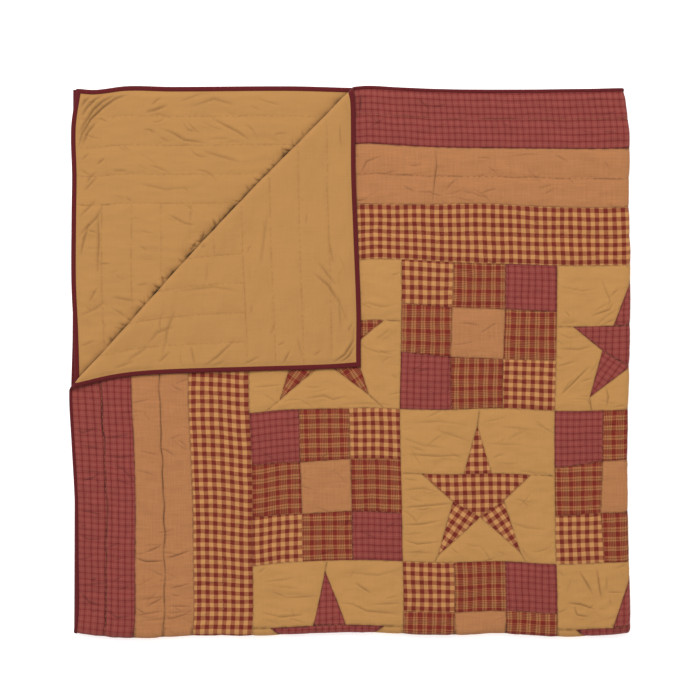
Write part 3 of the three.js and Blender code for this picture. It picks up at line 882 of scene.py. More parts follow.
def off_lines(points, lines, most):
    """Distance of each point from the nearest of the lines, up to most."""
    off = np.full(len(points), float(most))
    for a, b in lines:
        low = np.minimum(a, b) - most
        high = np.maximum(a, b) + most
        near = np.flatnonzero(np.all((points > low) & (points < high), axis=1))
        if len(near):
            off[near] = np.minimum(off[near], off_segment(points[near], a, b)[0])
    return off


def crease_points(creases, low, high):
    """Points along the creases that cross a box, and the creases themselves."""
    near, points = [], []
    for a, b in creases:
        if np.all(np.maximum(a, b) > low) and np.all(np.minimum(a, b) < high):
            near.append((a, b))
            count = max(1, round(np.linalg.norm(b - a) / CREASE_STEP))
            line = a + np.linspace(0, 1, count + 1)[:, None] * (b - a)
            points += [line, *beside(line, CREASE_RING)]
    return near, np.concatenate(points) if points else np.zeros((0, 2))


def fold_rows(low, high):
    """Rows of points that bend with the cloth round the two folds and the turned corner's crease."""
    rows = []
    step, count = RIGHT_LINES
    along = np.arange(low[1], high[1], ROW_STEP)
    for n in range(-count, count + 1):
        rows.append(np.stack([np.full(len(along), n * step), along], 1))
    step, count = BOTTOM_LINES
    along = np.arange(low[0], high[0], ROW_STEP)
    for n in range(-count, count + 1):
        rows.append(np.stack([along, np.full(len(along), n * step)], 1))
    step, count = CREASE_LINES
    if low[0] < 0 < high[1]:
        along = np.arange(-0.02, 1.02, ROW_STEP / math.hypot(CREASE_TOP, CREASE_SIDE))[:, None]
        for n in range(-count, count + 1):
            share = n * step / CORNER_DEPTH
            top = np.array([CREASE_TOP * (1 - share) - HALF_WIDTH, HALF_LENGTH])
            side = np.array([-HALF_WIDTH, HALF_LENGTH - CREASE_SIDE * (1 - share)])
            rows.append(top + along * (side - top))
    return rows


def patch_mesh(outline, rows, shows, creases, spacing):
    """Points and triangles of one flat patch: close together where it shows, along its stitched rows
    and creases and round the folds, and wide apart in the hidden layers."""
    sides = list(zip(outline, outline[1:] + outline[:1]))
    border = [points_along(a, b, shows, spacing) for a, b in sides]
    loop = np.concatenate([line[:-1] for line in border])
    low, high = loop.min(0), loop.max(0)
    groups = []  # of points, each with how far they have to stay from the patch's own sides
    for line in border:
        for gap in TROUGH_RINGS:
            groups += [(ring, 0.97 * gap) for ring in beside(line, gap)]
    for a, b in rows:
        line = points_along(a, b, shows, spacing)
        groups.append((line, LINE_ROOM))
        for gap in TROUGH_RINGS:
            groups += [(ring, RING_ROOM) for ring in beside(line, gap)]
    creases, crease_line = crease_points(creases, low, high)
    groups.append((crease_line, LINE_ROOM))
    fine = hex_grid(low, high, spacing)
    fine = fine[shows(fine[:, 0], fine[:, 1])]
    fine = fine[off_lines(fine, creases, 6) > CREASE_GAP]
    coarse = hex_grid(low, high, COARSE)
    coarse = coarse[~shows(coarse[:, 0], coarse[:, 1])]
    for grid, clear in ((fine, TROUGH_RINGS[-1] + 0.45 * spacing), (coarse, COARSE_ROOM)):
        groups.append((grid[off_lines(grid, rows, 9) > clear], clear))

    kept = []
    for points, clear in groups:
        if not len(points):
            continue
        points = points[np.all((points > low) & (points < high), axis=1)]
        u, v = points.T
        by_crease = (u < 0) & (v > 0) & (np.abs(off_crease(u, v)) < CREASE_ROOM)
        points = points[(np.abs(u) >= RIGHT_ROOM) & (np.abs(v) >= BOTTOM_ROOM) & ~by_crease]
        points = points[inside(points, outline)]
        kept.append(points[off_lines(points, sides, 30) > clear])
    for points in fold_rows(low, high):
        points = points[np.all((points > low) & (points < high), axis=1)]
        points = points[inside(points, outline)]
        kept.append(points[off_lines(points, sides, 30) > FOLD_ROOM])
    loose = np.concatenate(kept)
    loose = loose[np.unique(np.round(loose / MERGED).astype(int), axis=0, return_index=True)[1]]
    every = [Vector(point) for point in np.concatenate([loop, loose])]
    made = geometry.delaunay_2d_cdt(every, [], [list(range(len(loop)))], 1, 1e-4)
    return np.array([list(point) for point in made[0]]), [list(face) for face in made[2]]


def new_piece(name, places, faces, materials):
    """A mesh of the quilt, from points in millimetres, on an object that lies with the whole quilt."""
    mesh = bpy.data.meshes.new(name)
    mesh.from_pydata((places * MM).tolist(), [], faces.tolist())
    for material in materials:
        mesh.materials.append(material)
    mesh.polygons.foreach_set("use_smooth", np.ones(len(faces), bool))
    made = bpy.data.objects.new(name, mesh)
    bpy.context.scene.collection.objects.link(made)
    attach(made, "root")
    return made


def lay_out(mesh, name, places):
    """Where each corner of each face lies on a flat cloth."""
    mesh.uv_layers.new(name=name).data.foreach_set("uv", np.ravel(places))


def sew(name, patches, rows, shows, heights, node, islands, creases, spacing):
    """One piece from flat patches, each an (outline, material, turn of its cloth, offset), folded into
    place. heights says how far off the quilt's middle each point lies, and islands where a face's cloth
    goes in the piece's own square of texture."""
    vertices, faces, face_patch = [], [], []
    found = {}
    for number, (outline, *_) in enumerate(patches):
        inner = [row for row in rows if middle_inside(row, outline)]
        points, triangles = patch_mesh(outline, inner, shows, creases, spacing)
        numbers = []
        for u, v in np.round(points, 3):
            key = (u, v)
            if key not in found:
                found[key] = len(vertices)
                vertices.append(key)
            numbers.append(found[key])
        for face in triangles:
            corners = [numbers[n] for n in face]
            if len(set(corners)) == 3:
                faces.append(corners)
                face_patch.append(number)
    flat_points = np.array(vertices)
    faces = np.array(faces)
    face_patch = np.array(face_patch)
    a, b, c = (flat_points[faces[:, n]] for n in range(3))
    area = (b[:, 0] - a[:, 0]) * (c[:, 1] - a[:, 1]) - (b[:, 1] - a[:, 1]) * (c[:, 0] - a[:, 0])
    keep = np.abs(area) > 1e-3
    faces, face_patch, area = faces[keep], face_patch[keep], area[keep]
    faces[area < 0] = faces[area < 0][:, ::-1]
    height, ditch, backwards = heights(flat_points)
    places = folded(flat_points[:, 0], flat_points[:, 1], height)
    if backwards:
        faces = faces[:, ::-1]

    materials = []
    for _, material, *_ in patches:
        if material not in materials:
            materials.append(material)
    made = new_piece(name, places, faces, materials)
    mesh = made.data
    index = np.array([materials.index(patch[1]) for patch in patches])
    mesh.polygons.foreach_set("material_index", index[face_patch].astype(np.int32))
    corners = faces.ravel()
    corner_patch = np.repeat(face_patch, 3)
    turn = np.array([patch[2] for patch in patches])[corner_patch]
    offset = np.array([patch[3] for patch in patches])[corner_patch]
    u, v = flat_points[corners].T
    cloth = np.stack([u * np.cos(turn) + v * np.sin(turn), v * np.cos(turn) - u * np.sin(turn)], 1)
    lay_out(mesh, "cloth", (cloth + offset) * MM)
    lay_out(mesh, "OFBake", islands(flat_points, faces))
    mesh.attributes.new("ditch", "FLOAT", "POINT").data.foreach_set("value", ditch)
    mesh.validate()
    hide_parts(node)


def one_island(low, size):
    """Lays a whole piece flat in its square of texture."""

    def lay(points, faces):
        return 0.01 + 0.98 * (points[faces.ravel()] - low) / max(size)

    return lay


face_creases = [
    (a, b)
    for a, b in flat_creases(FACE_CREASES + FACE_WRINKLES, on_top)
    if max(a[0], b[0]) < -4 and min(a[1], b[1]) > 4
]
quilted_rows = []  # every stitched line, for the backing
stitched = []  # and each piece's own lines with its heights, for the thread
FAR = 40  # distances from stitched lines are told up to this
RIM_RISE = 12  # the cloth has risen to its full height this far inside the binding
SEAM_SHADE_HALF_WIDTH = 1.4  # half of the width of the painted shade along a seam
FACE_SOFT = [((52, 24), 3.1, 1.7), ((24, 12), 7.7, 1.0)]  # its soft ripples: spacing, seed and height
FACE_PUCKER = 1.1  # the ripples at the stitches, and how far they reach
PUCKER_REACH = 7
CALM = 0.25  # share of the soft ripples that is left in a seam


def puffed(off):
    """Share of its full height that the padding has this far from a stitched line."""
    return 1 - np.exp(-((off / PUFF) ** 1.2))


def past_rim(u, v, binding):
    from_edge = np.minimum(HALF_WIDTH - np.abs(u), HALF_LENGTH - np.abs(v))
    return smooth(from_edge, binding, binding + RIM_RISE)


def ripples(places, kinds):
    return sum(crinkle(places, spacing, seed) * height for spacing, seed, height in kinds)


def face_heights(rows, centre_row=None, row_shade=None):
    """How high the patchwork lies: low along its stitched lines, risen between them, and on the layer
    that shows also creased and crinkled, with the painted shade in its seams and creases. row_shade says
    how strong and how uneven the painted shade along a centre row is."""

    def at(points):
        u, v = points.T
        off_seams = off_lines(points, rows, FAR)
        off = off_seams
        if centre_row:
            wander = crinkle(points, (40, 40), 3.3)[:, None] * 4
            off_centre = off_lines(points + wander, [centre_row], FAR)
            off = np.minimum(off, off_lines(points, [centre_row], FAR))
        risen = puffed(off)
        at_rim = past_rim(u, v, NARROW_BINDING)
        # painted shade along the seams' troughs
        ditch = bell(off_seams, SEAM_SHADE_HALF_WIDTH)
        height = mix(RIM, SEAM + (CROWN - SEAM) * risen, at_rim)
        free = (u < PAST_RIGHT - 2) & (v > 2 - PAST_BOTTOM) & (corner_share(u, v) < 0.005)
        seen = np.flatnonzero(free)
        if len(seen):
            top = middle(u[seen], v[seen])[:, :2]
            by_folds = smooth(-u[seen], -12, 16) * smooth(v[seen], -14, 16)
            freedom = smooth(-off_crease(u[seen], v[seen]), 0, 16) * at_rim[seen] * by_folds
            soft = ripples(top, FACE_SOFT)
            pucker = crinkle(top, (8, 8), 11.3) * FACE_PUCKER * np.exp(-off[seen] / PUCKER_REACH)
            rise, dark = creased(top, FACE_CREASES + FACE_WRINKLES)
            lifted = EXTRA_CROWN * risen[seen] + soft * mix(CALM, 1, risen[seen]) + pucker + rise
            height[seen] += freedom * lifted
            # the seams' painted shade made uneven, and the creases' own painted shade
            uneven = np.clip(1.1 + crinkle(top, (9, 9), 4.4), 0.4, 1.7)
            ditch[seen] = np.maximum(ditch[seen] * uneven, dark * freedom)
            # painted shade along the strip's centre row
            if centre_row:
                even, spread = row_shade
                shade = np.clip(even + spread * crinkle(top, (30, 30), 6.6), 0, 1.6)
                ditch[seen] = np.maximum(ditch[seen], shade * bell(off_centre[seen], 1.5))
        return height, ditch, False

    return at


def sew_face(name, patches, heights, islands, rows=()):
    sew(
        name,
        patches,
        rows,
        face_shows,
        heights,
        "patchwork_top",
        islands,
        face_creases,
        FINE,
    )


def block_outline(column, row):
    left, right = COLUMN_SEAMS[column], COLUMN_SEAMS[column + 1]
    low, high = ROW_SEAMS[row], ROW_SEAMS[row + 1]
    return left, right, low, high


STAR_POINTS = {
    "apex": (0, 121),
    "above": (5, BLOCK_HEIGHT / 2),
    "left shoulder": (-29, 25),
    "right shoulder": (29, 25),
    "left hand": (-116, 25),
    "right hand": (116, 25),
    "left waist": (-52.6, -31),
    "right waist": (52.6, -31),
    "crotch": (0, -65),
    "left foot": (-85.5, -136.7),
    "right foot": (85.5, -136.7),
    "below left": (-94, -BLOCK_HEIGHT / 2),
    "below right": (96, -BLOCK_HEIGHT / 2),
    "left side": (-BLOCK_WIDTH / 2, 25),
    "right side": (BLOCK_WIDTH / 2, 25),
    "upper left": (-BLOCK_WIDTH / 2, BLOCK_HEIGHT / 2),
    "upper right": (BLOCK_WIDTH / 2, BLOCK_HEIGHT / 2),
    "lower left": (-BLOCK_WIDTH / 2, -BLOCK_HEIGHT / 2),
    "lower right": (BLOCK_WIDTH / 2, -BLOCK_HEIGHT / 2),
}
LEG_TURN = 0.6
# How far some of these points lie from there in the stars that show, by (column, row)
STAR_STRAYS = {
    (0, 2): {
        "apex": (-6, 13),
        "above": (-6, 0),
        "left shoulder": (-2, -4),
        "right shoulder": (9, -4),
        "left hand": (-6, -5),
        "right hand": (4, -5),
        "left side": (0, -5),
        "right side": (0, -5),
    },
    (0, 4): {
        "left side": (0, 5),
        "left hand": (0, 5),
        "left shoulder": (0, 5),
        "right shoulder": (0, 5),
        "right hand": (7, 6),
        "right side": (0, 6),
        "left waist": (-9, 3),
        "right waist": (7, 8),
        "crotch": (0, 8),
        "left foot": (-8, 1),
        "right foot": (8, 8),
        "below left": (-29, 0),
        "below right": (29, 0),
    },
    (1, 3): {"right hand": (-6, 0), "left foot": (0, -5), "crotch": (3, 0)},
    (2, 2): {
        "left shoulder": (-9, -6),
        "left hand": (-4, -5),
        "left side": (0, -5),
        "apex": (0, 6),
    },
    (2, 4): {
        "left hand": (-7, 0),
        "left shoulder": (-7, 0),
        "apex": (0, 4),
        "left waist": (-6, 3),
        "left foot": (1, 8),
        "below left": (14, 0),
    },
}
STAR_BODY = [
    *["left hand", "left shoulder", "right shoulder", "right hand"],
    *["right waist", "crotch", "left waist"],
]
STAR_PIECES = [
    (["upper left", "above", "apex", "left shoulder", "left hand", "left side"], "ground", 0),
    (["above", "upper right", "right side", "right hand", "right shoulder", "apex"], "ground", 0),
    (["left side", "left hand", "left waist", "left foot", "below left", "lower left"], "ground", 0),
    (["right hand", "right side", "lower right", "below right", "right foot", "right waist"], "ground", 0),
    (["crotch", "right foot", "below right", "below left", "left foot"], "ground", 0),
    (["apex", "right shoulder", "left shoulder"], "star", 0),
    (STAR_BODY, "star", 0),
    (["left waist", "crotch", "left foot"], "star", -LEG_TURN),
    (["crotch", "right waist", "right foot"], "star", LEG_TURN),
]

star_cloth = {(2, 2): multi_plaid, (1, 1): gingham}  # by block from the middle; the rest are burgundy
for column in range(5):
    for row in range(5):
        if (column + row) % 2:
            continue
        left, right, low, high = block_outline(column, row)
        cloth = star_cloth.get((abs(column - 2), abs(row - 2)), burgundy_plaid)
        size = np.array([right - left, high - low])
        centre = np.array([left + right, low + high]) / 2
        scale = size / [BLOCK_WIDTH, BLOCK_HEIGHT]
        strays = STAR_STRAYS.get((column, row), {})
        named = {
            name: tuple(np.round(centre + scale * at + strays.get(name, (0, 0)), 3))
            for name, at in STAR_POINTS.items()
        }
        patches, rows = [], set()
        for number, (corners, kind, turn) in enumerate(STAR_PIECES):
            outline = [named[name] for name in corners]
            material = muslin if kind == "ground" else cloth
            patches.append((outline, material, turn, (7.3 * number + 31 * column, 5.1 * number + 17 * row)))
            for a, b in zip(outline, outline[1:] + outline[:1]):
                rows.add((min(a, b), max(a, b)))
        rows = sorted(rows)
        quilted_rows += rows
        stitched.append((rows, face_heights(rows)))
        islands = one_island(np.array([left, low]), size)
        sew_face(f"star_block_{column + 1}_{row + 1}", patches, face_heights(rows), islands)

# The ninepatch blocks. Each is nine squares in rows of three: a plain rust one in the middle, a
# multi-plaid one on each side of it, and burgundy plaid and gingham in opposite corners. They
# take turns with the star blocks.
RUST = dye(168, 109, 66)
RUST_PALE = dye(177, 123, 81)
rust_warp = [(1.3, RUST), (1.3, RUST_PALE)]
rust_weft = [(1.6, RUST), (1.2, RUST_PALE)]
rust = woven("rust", rust_warp, rust_weft, streak=0.1, ditch=0.45)
NINEPATCH = [
    [gingham, multi_plaid, burgundy_plaid],
    [multi_plaid, rust, multi_plaid],
    [burgundy_plaid, multi_plaid, gingham],
]
# The squares aren't quite square: how far the corners inside a block stray, by block, then by corner
# counted from the lower left. The blocks in the hidden layers are left even.
STRAYS = {
    (1, 4): {
        (0, 2): (0, 16),
        (1, 2): (-3, 11),
        (2, 2): (0, 7),
        (3, 2): (0, 4),
        (0, 1): (0, 18),
        (1, 1): (-4, 10),
        (2, 1): (-2, 4),
        (3, 1): (0, 4),
    },
    (2, 3): {
        (0, 2): (0, -11),
        (1, 2): (-1, 0),
        (2, 2): (0, 3),
        (0, 1): (0, -6),
        (1, 1): (-6, -1),
        (2, 1): (0, -4),
    },
    (0, 3): {
        (1, 2): (-1, -5),
        (0, 1): (0, -2),
        (1, 1): (0, -7),
        (2, 1): (0, -3),
        (3, 1): (0, -5),
        (3, 2): (0, 1),
    },
}


def within_block(left, right, low, high):
    """The outline of a block a little way in, which tells its inner seams from its outer ones."""
    inset = 4
    left, right, low, high = left + inset, right - inset, low + inset, high - inset
    return [(left, low), (right, low), (right, high), (left, high)]


for column in range(5):
    for row in range(5):
        if (column + row) % 2 == 0:
            continue
        left, right, low, high = block_outline(column, row)
        size = np.array([right - left, high - low])
        strays = STRAYS.get((column, row), {})
        corner = {}
        for i in range(4):
            for j in range(4):
                even = np.array([mix(left, right, i / 3), mix(low, high, j / 3)])
                corner[i, j] = tuple(np.round(even + strays.get((i, j), (0, 0)), 3))
        patches, rows = [], set()
        for i in range(3):
            for j in range(3):
                outline = [corner[i, j], corner[i + 1, j], corner[i + 1, j + 1], corner[i, j + 1]]
                # The burgundy is in the upper right corner in even rows, and in the upper left in odd ones.
                place = i if row % 2 == 0 else 2 - i
                material = NINEPATCH[2 - j][place]
                turned = QUARTER_TURN if material in (multi_plaid, burgundy_plaid) and row % 2 else 0
                patches.append((outline, material, turned, (11.7 * i + 3.9 * j, 6.3 * i + 9.1 * j)))
                for a, b in zip(outline, outline[1:] + outline[:1]):
                    rows.add((min(a, b), max(a, b)))
        rows = sorted(rows)
        inner = [seam for seam in rows if middle_inside(seam, within_block(left, right, low, high))]
        quilted_rows += rows
        stitched.append((inner, face_heights(rows)))
        islands = one_island(np.array([left, low]), size)
        sew_face(f"ninepatch_block_{column + 1}_{row + 1}", patches, face_heights(rows), islands)

# The border strips: three straight strips of cloth along each edge, gingham, rust and burgundy plaid.
# The gingham round is sewn on first, then the other side strips, and the other end strips last, right
# across. Each strip is quilted along its middle as well as along its seams.
SIDE_SEAMS = [780.5, 902.5, 1024.5, HALF_WIDTH]
END_SEAMS = [769.5, 889.5, 1009, HALF_LENGTH]
ISLAND_ROWS = 4


def strip_islands(low, size):
    """Cuts a long strip's texture in four lengths and lays them above each other."""
    lengthways = int(size[1] > size[0])
    long, wide = size[lengthways], size[1 - lengthways]

    def lay(points, faces):
        centre = points[faces].mean(1)[:, lengthways] - low[lengthways]
        part = np.clip((centre / long * ISLAND_ROWS).astype(int), 0, ISLAND_ROWS - 1)
        part = np.repeat(part, 3)
        places = points[faces.ravel()] - low
        piece = long / ISLAND_ROWS
        room = max(piece * 1.03, wide * 1.08 * ISLAND_ROWS)
        x = (places[:, lengthways] - part * piece + 0.012 * piece) / room
        y = (places[:, 1 - lengthways] + part * wide * 1.07 + 0.012 * piece) / room
        return np.stack([x, y], 1)

    return lay


ROUNDS = [("gingham", gingham), ("rust", rust), ("burgundy", burgundy_plaid)]
# How strong the painted shade along the centre row of a strip is, and how uneven: there is hardly any in
# the gingham
CENTRE_ROW_SHADE = {"side": (1.3, 1.0), "end": (0.35, 0.9)}
GINGHAM_ROW_SHADE = (0.1, 0.2)
WEAVE_START = {"side": 2.2, "end": -6.7}
PLACES = {"side": {-1: "left", 1: "right"}, "end": {-1: "bottom", 1: "top"}}
side_ends = [END_SEAMS[0], END_SEAMS[1], END_SEAMS[1]]
end_sides = [SIDE_SEAMS[1], HALF_WIDTH, HALF_WIDTH]
for n, (cloth_name, cloth) in enumerate(ROUNDS):
    for end in (-1, 1):
        across = sorted([end * SIDE_SEAMS[n], end * SIDE_SEAMS[n + 1]])
        along = sorted([end * END_SEAMS[n], end * END_SEAMS[n + 1]])
        spans = {
            "side": (across, [-side_ends[n], side_ends[n]]),
            "end": ([-end_sides[n], end_sides[n]], along),
        }
        for kind, ((left, right), (low, high)) in spans.items():
            outline = [(left, low), (right, low), (right, high), (left, high)]
            if kind == "side":
                centre_row = ((left + right) / 2, low), ((left + right) / 2, high)
            else:
                centre_row = (left, (low + high) / 2), (right, (low + high) / 2)
            rows = [(min(a, b), max(a, b)) for a, b in zip(outline, outline[1:] + outline[:1])]
            quilted_rows += [*rows, centre_row]
            row_shade = GINGHAM_ROW_SHADE if cloth is gingham else CENTRE_ROW_SHADE[kind]
            heights = face_heights(rows, centre_row, row_shade)
            stitched.append(([centre_row], heights))
            size = np.array([right - left, high - low])
            turn = QUARTER_TURN if (kind == "end") == (cloth is burgundy_plaid) else 0
            patch = (outline, cloth, turn, (13.0 * n, 4.0 * n + WEAVE_START[kind]))
            islands = strip_islands(np.array([left, low]), size)
            name = f"{cloth_name}_strip_{PLACES[kind][end]}"
            sew_face(name, [patch], heights, islands, [centre_row])

# The quilting thread: tan cotton in short running stitches, about two to the inch, which hold the layers
# together along the strips, the seams and the stars. Each stitch that shows is a short strand that
# dips into the cloth at both ends.
STITCH_PITCH = 13
STITCH_HALF = 3.3
SLIP = 1.2  # a stitch strays this far along its row
# The rings of a strand: how far along it each is, how high above the cloth, and its radius
STRAND = [(-1, -0.55, 0.12), (-0.62, 0.1, 0.4), (0, 0.28, 0.46), (0.62, 0.1, 0.4), (1, -0.55, 0.12)]
AROUND = [(1, 0), (0, 1), (-1, 0), (0, -1)]


def stitches_along(rows, seed):
    """The middle and the direction of every stitch on these rows, a little uneven."""
    draw = np.random.RandomState(seed)
    middles, ways = [], []
    for a, b in rows:
        a, b = np.array(a), np.array(b)
        length = np.linalg.norm(b - a)
        count = int(length / STITCH_PITCH)
        if count < 1:
            continue
        at = (np.arange(count) + 0.5) * length / count + draw.uniform(-SLIP, SLIP, count)
        middles.append(a + at[:, None] / length * (b - a))
        ways.append(np.tile((b - a) / length, (count, 1)))
    return np.concatenate(middles), np.concatenate(ways)


def stitch(name, strands, cloth, side):
    """One piece from all the strands of a side, which is 1 for the patchwork's and -1 for the backing's.
    Each strand is a tube of rings, closed at both ends."""
    rings, turns = len(STRAND), len(AROUND)
    tube = [list(range(turns))[::-1], list(range((rings - 1) * turns, rings * turns))]
    for here in range(0, (rings - 1) * turns, turns):
        there = here + turns
        for turn in range(turns):
            after = (turn + 1) % turns
            tube.append([here + turn, here + after, there + after, there + turn])
    tube = np.array(tube)
    if side < 0:
        tube = tube[:, ::-1]
    vertices = []
    for middles, ways, heights in strands:
        across = np.stack([-ways[:, 1], ways[:, 0]], 1)
        group = []
        for along, lift, radius in STRAND:
            flat = middles + ways * (along * STITCH_HALF)
            height = np.abs(heights(flat)[0])
            for out, up in AROUND:
                ring = flat + across * (out * radius)
                group.append(np.column_stack([ring, side * (height + lift + up * radius)]))
        vertices.append(np.stack(group, 1).reshape(-1, 3))
    vertices = np.concatenate(vertices)
    starts = np.arange(0, len(vertices), rings * turns)
    faces = (tube[None] + starts[:, None, None]).reshape(-1, turns)
    made = new_piece(name, folded(*vertices.T), faces, [cloth])
    lay_out(made.data, "cloth", vertices[faces.ravel(), :2] * MM)
    made.data.attributes.new("ditch", "FLOAT", "POINT")


thread_cloth = plain("quilting_thread", dye(150, 100, 60))
face_strands = []
for number, (rows, heights) in enumerate(stitched):
    middles, ways = stitches_along(rows, 100 + number)
    seen = face_shows(*middles.T) & (corner_share(*middles.T) < -0.01)
    if seen.any():
        face_strands.append((middles[seen], ways[seen], heights))
stitch("quilting_thread_front", face_strands, thread_cloth, 1)

# The backing: one plain sheet of tan cloth as large as the quilt, joined to the patchwork through the
# padding by the quilting, whose rows pull it into shallow troughs on this side as well. It shows where
# the corner is turned back, and on the layer below that.
BACK_SPACING = 4.1  # of this plainer sheet's points where it shows
BACKING_TAN = dye(177, 129, 75)
backing_cloth = plain("backing_cloth", BACKING_TAN, streak=0.035, ditch=0.5)


def backing_shows(u, v):
    return (v > -8) & (corner_share(-np.abs(u), v) > -0.035)


# The turned edge as it lies, seen from above
edge_share = np.linspace(0, 1, 60)
edge_u = CREASE_TOP * (1 - edge_share) - HALF_WIDTH
edge_v = HALF_LENGTH - CREASE_SIDE * edge_share
edge_line = folded(edge_u, edge_v, np.full(len(edge_share), -CROWN))[:, :2]
edge_line = edge_line[np.argsort(edge_line @ along_crease[:2])]


def fold_edge(x, y):
    """How far a place lies outside the turned edge, as seen from above."""
    along = x * along_crease[0] + y * along_crease[1]
    out = x * towards_corner[0] + y * towards_corner[1]
    return out - np.interp(along, edge_line @ along_crease[:2], edge_line @ towards_corner[:2])


# Where the cloth below meets the turned edge it gathers in short creases square to it.
GATHERS = 64
GATHER_SPREAD = 0.4
GATHER_REACH = (5, 17)
GATHER_DEPTH = (1.0, 2.8)
GATHER_WIDTH = (3, 4.8)
gathers = []
draw = np.random.RandomState(12)
for _ in range(GATHERS):
    place = edge_line[draw.randint(8, 52)]
    way = towards_corner[:2] + along_crease[:2] * draw.normal(0, GATHER_SPREAD)
    reach = draw.uniform(*GATHER_REACH)
    line = [place - way * 0.8 * reach, place + way * 0.2 * reach, place + way * reach]
    gathers.append((line, draw.uniform(*GATHER_DEPTH), draw.uniform(*GATHER_WIDTH)))
under_creases = UNDER_CREASES + UNDER_WRINKLES + gathers
flap_creases = FLAP_CREASES + FLAP_WRINKLES


def least_share(crease, half):
    """How far inside the corner a crease lies at least, with half = -1 for the half below the corner's."""
    u, v = np.transpose(crease)
    return corner_share(half * u, v).min()


back_creases = [
    crease
    for crease in flat_creases(under_creases, on_under)
    if np.min(crease, axis=0)[0] > 4 and least_share(crease, -1) > -0.03
]
back_creases += [crease for crease in flat_creases(flap_creases, on_flap) if least_share(crease, 1) > 0.02]
BACK_SEAM = 1.95  # height of a stitched row on this side
BACK_ROW_SHADE = (0.17, 1.3)  # strength of the painted shade along a row, and half of its width
BACK_SOFT = ((60, 52), 5.4, 1.7)
BACK_PUCKER = 0.9
BACK_PUCKER_REACH = 8
BACK_CALM = 0.4
BACK_CROWN = 0.8 * EXTRA_CROWN
# share of the creases' painted shade on this side
BACK_CREASE_SHADE = 0.6
FREED = 22  # the cloth lies freely this far from where a part begins
MID_DARK = (0.42, 0.16)  # the painted shade by the edge is darkest at this share of its length, and how far round that
SHADE_REACH = 3.4  # of the closed shade below the edge
HAZE = 0.5  # the wider, paler shade, and its reach
HAZE_REACH = 9
CREASE_DARK = (0.4, 2.2)  # the painted shade line along the crease on the corner itself, and its half width


def edge_shade(top, depth, on_corner):
    """How dark the cloth is by the turned edge, which closes off the light to the layer below it."""
    uneven = crinkle(np.stack([top @ along_crease[:2], np.zeros(len(top))], 1), (26, 26), 6.1)
    down = (top - crease_ends[0][:2]) @ along_crease[:2] / math.hypot(CREASE_TOP, CREASE_SIDE)
    strength = 0.78 + 0.45 * bell(down - MID_DARK[0], MID_DARK[1])
    if on_corner:
        dark = CREASE_DARK[0] * bell(depth, CREASE_DARK[1])
    else:
        past = np.maximum(fold_edge(*top.T), 0)
        haze = HAZE * np.exp(-((past / HAZE_REACH) ** 1.3)) * np.clip(0.9 + 1.6 * uneven, 0.2, 1.7)
        dark = np.exp(-((past / SHADE_REACH) ** 1.5)) + haze
    return dark * strength * np.clip(1.1 + 0.6 * uneven, 0.5, 1.5)


def backing_heights(points):
    """How high the backing lies, and its painted shade: the same way as the patchwork, on the turned corner
    and below it.
    """
    u, v = points.T
    off = off_lines(points, quilted_rows, FAR)
    risen = puffed(off)
    at_rim = past_rim(u, v, BINDING_WIDTH)
    ditch = BACK_ROW_SHADE[0] * bell(off, BACK_ROW_SHADE[1])
    height = mix(RIM, BACK_SEAM + (CROWN - BACK_SEAM) * risen, at_rim)
    depth = off_crease(-np.abs(u), v)
    on_flap_part = (u < 0) & (v > 0) & (depth > -8)
    on_under_part = (u > 0) & (v > 0) & (depth > 0)
    for part, creases, start, grain in (
        (on_flap_part, flap_creases, -8, (15, 44)),
        (on_under_part, under_creases, -6, (40, 13)),
    ):
        seen = np.flatnonzero(part)
        top = middle(u[seen], v[seen])[:, :2]
        freedom = smooth(depth[seen], start, start + FREED) * at_rim[seen]
        soft = ripples(top, [BACK_SOFT, (grain, 9.2, 1.1)])
        pucker = crinkle(top, (10, 10), 2.3) * BACK_PUCKER * np.exp(-off[seen] / BACK_PUCKER_REACH)
        rise, dark = creased(top, creases)
        lifted = BACK_CROWN * risen[seen] + soft * mix(BACK_CALM, 1, risen[seen]) + pucker + rise
        height[seen] += freedom * lifted
        # painted shade along the rows and creases, made uneven
        uneven = np.clip(0.7 + 2.6 * crinkle(top, (26, 26), 8.8), 0.1, 2)
        ditch[seen] = np.maximum(ditch[seen] * uneven, BACK_CREASE_SHADE * dark * freedom)
        # painted shadow below the turned edge, and painted shade along the crease on the corner
        ditch[seen] = np.maximum(ditch[seen], edge_shade(top, depth[seen], part is on_flap_part))
    return -height, ditch, True


quilt_corners = [
    (-HALF_WIDTH, -HALF_LENGTH),
    (HALF_WIDTH, -HALF_LENGTH),
    (HALF_WIDTH, HALF_LENGTH),
    (-HALF_WIDTH, HALF_LENGTH),
]
quilt_sides = list(zip(quilt_corners, quilt_corners[1:] + quilt_corners[:1]))


def pulls_backing(row):
    """Whether a stitched row shows on the backing, and isn't one along the quilt's own edge."""
    halfway = np.mean(row, axis=0)
    shown = backing_shows(*np.array([*row, halfway]).T).any()
    return shown and off_lines(halfway[None], quilt_sides, 30)[0] > 5


back_rows = [row for row in sorted(set(quilted_rows)) if pulls_backing(row)]
whole = np.array([2 * HALF_WIDTH, 2 * HALF_LENGTH])
sew(
    "backing_sheet",
    [(quilt_corners, backing_cloth, 0, (0, 0))],
    back_rows,
    backing_shows,
    backing_heights,
    "backing",
    one_island(-whole / 2, whole),
    back_creases,
    BACK_SPACING,
)
middles, ways = stitches_along(back_rows, 99)
seen = backing_shows(*middles.T)
back_strands = [(middles[seen], ways[seen], backing_heights)]
stitch("quilting_thread_back", back_strands, plain("back_thread", BACKING_TAN), -1)

# The binding: one long bias strip of burgundy cloth, folded over the raw edges of all the layers and
# stitched down on both sides. It goes all the way round, with its corners mitred.
binding_cloth = plain("binding_cloth", dye(92, 24, 27), streak=0.08, ditch=0.35)
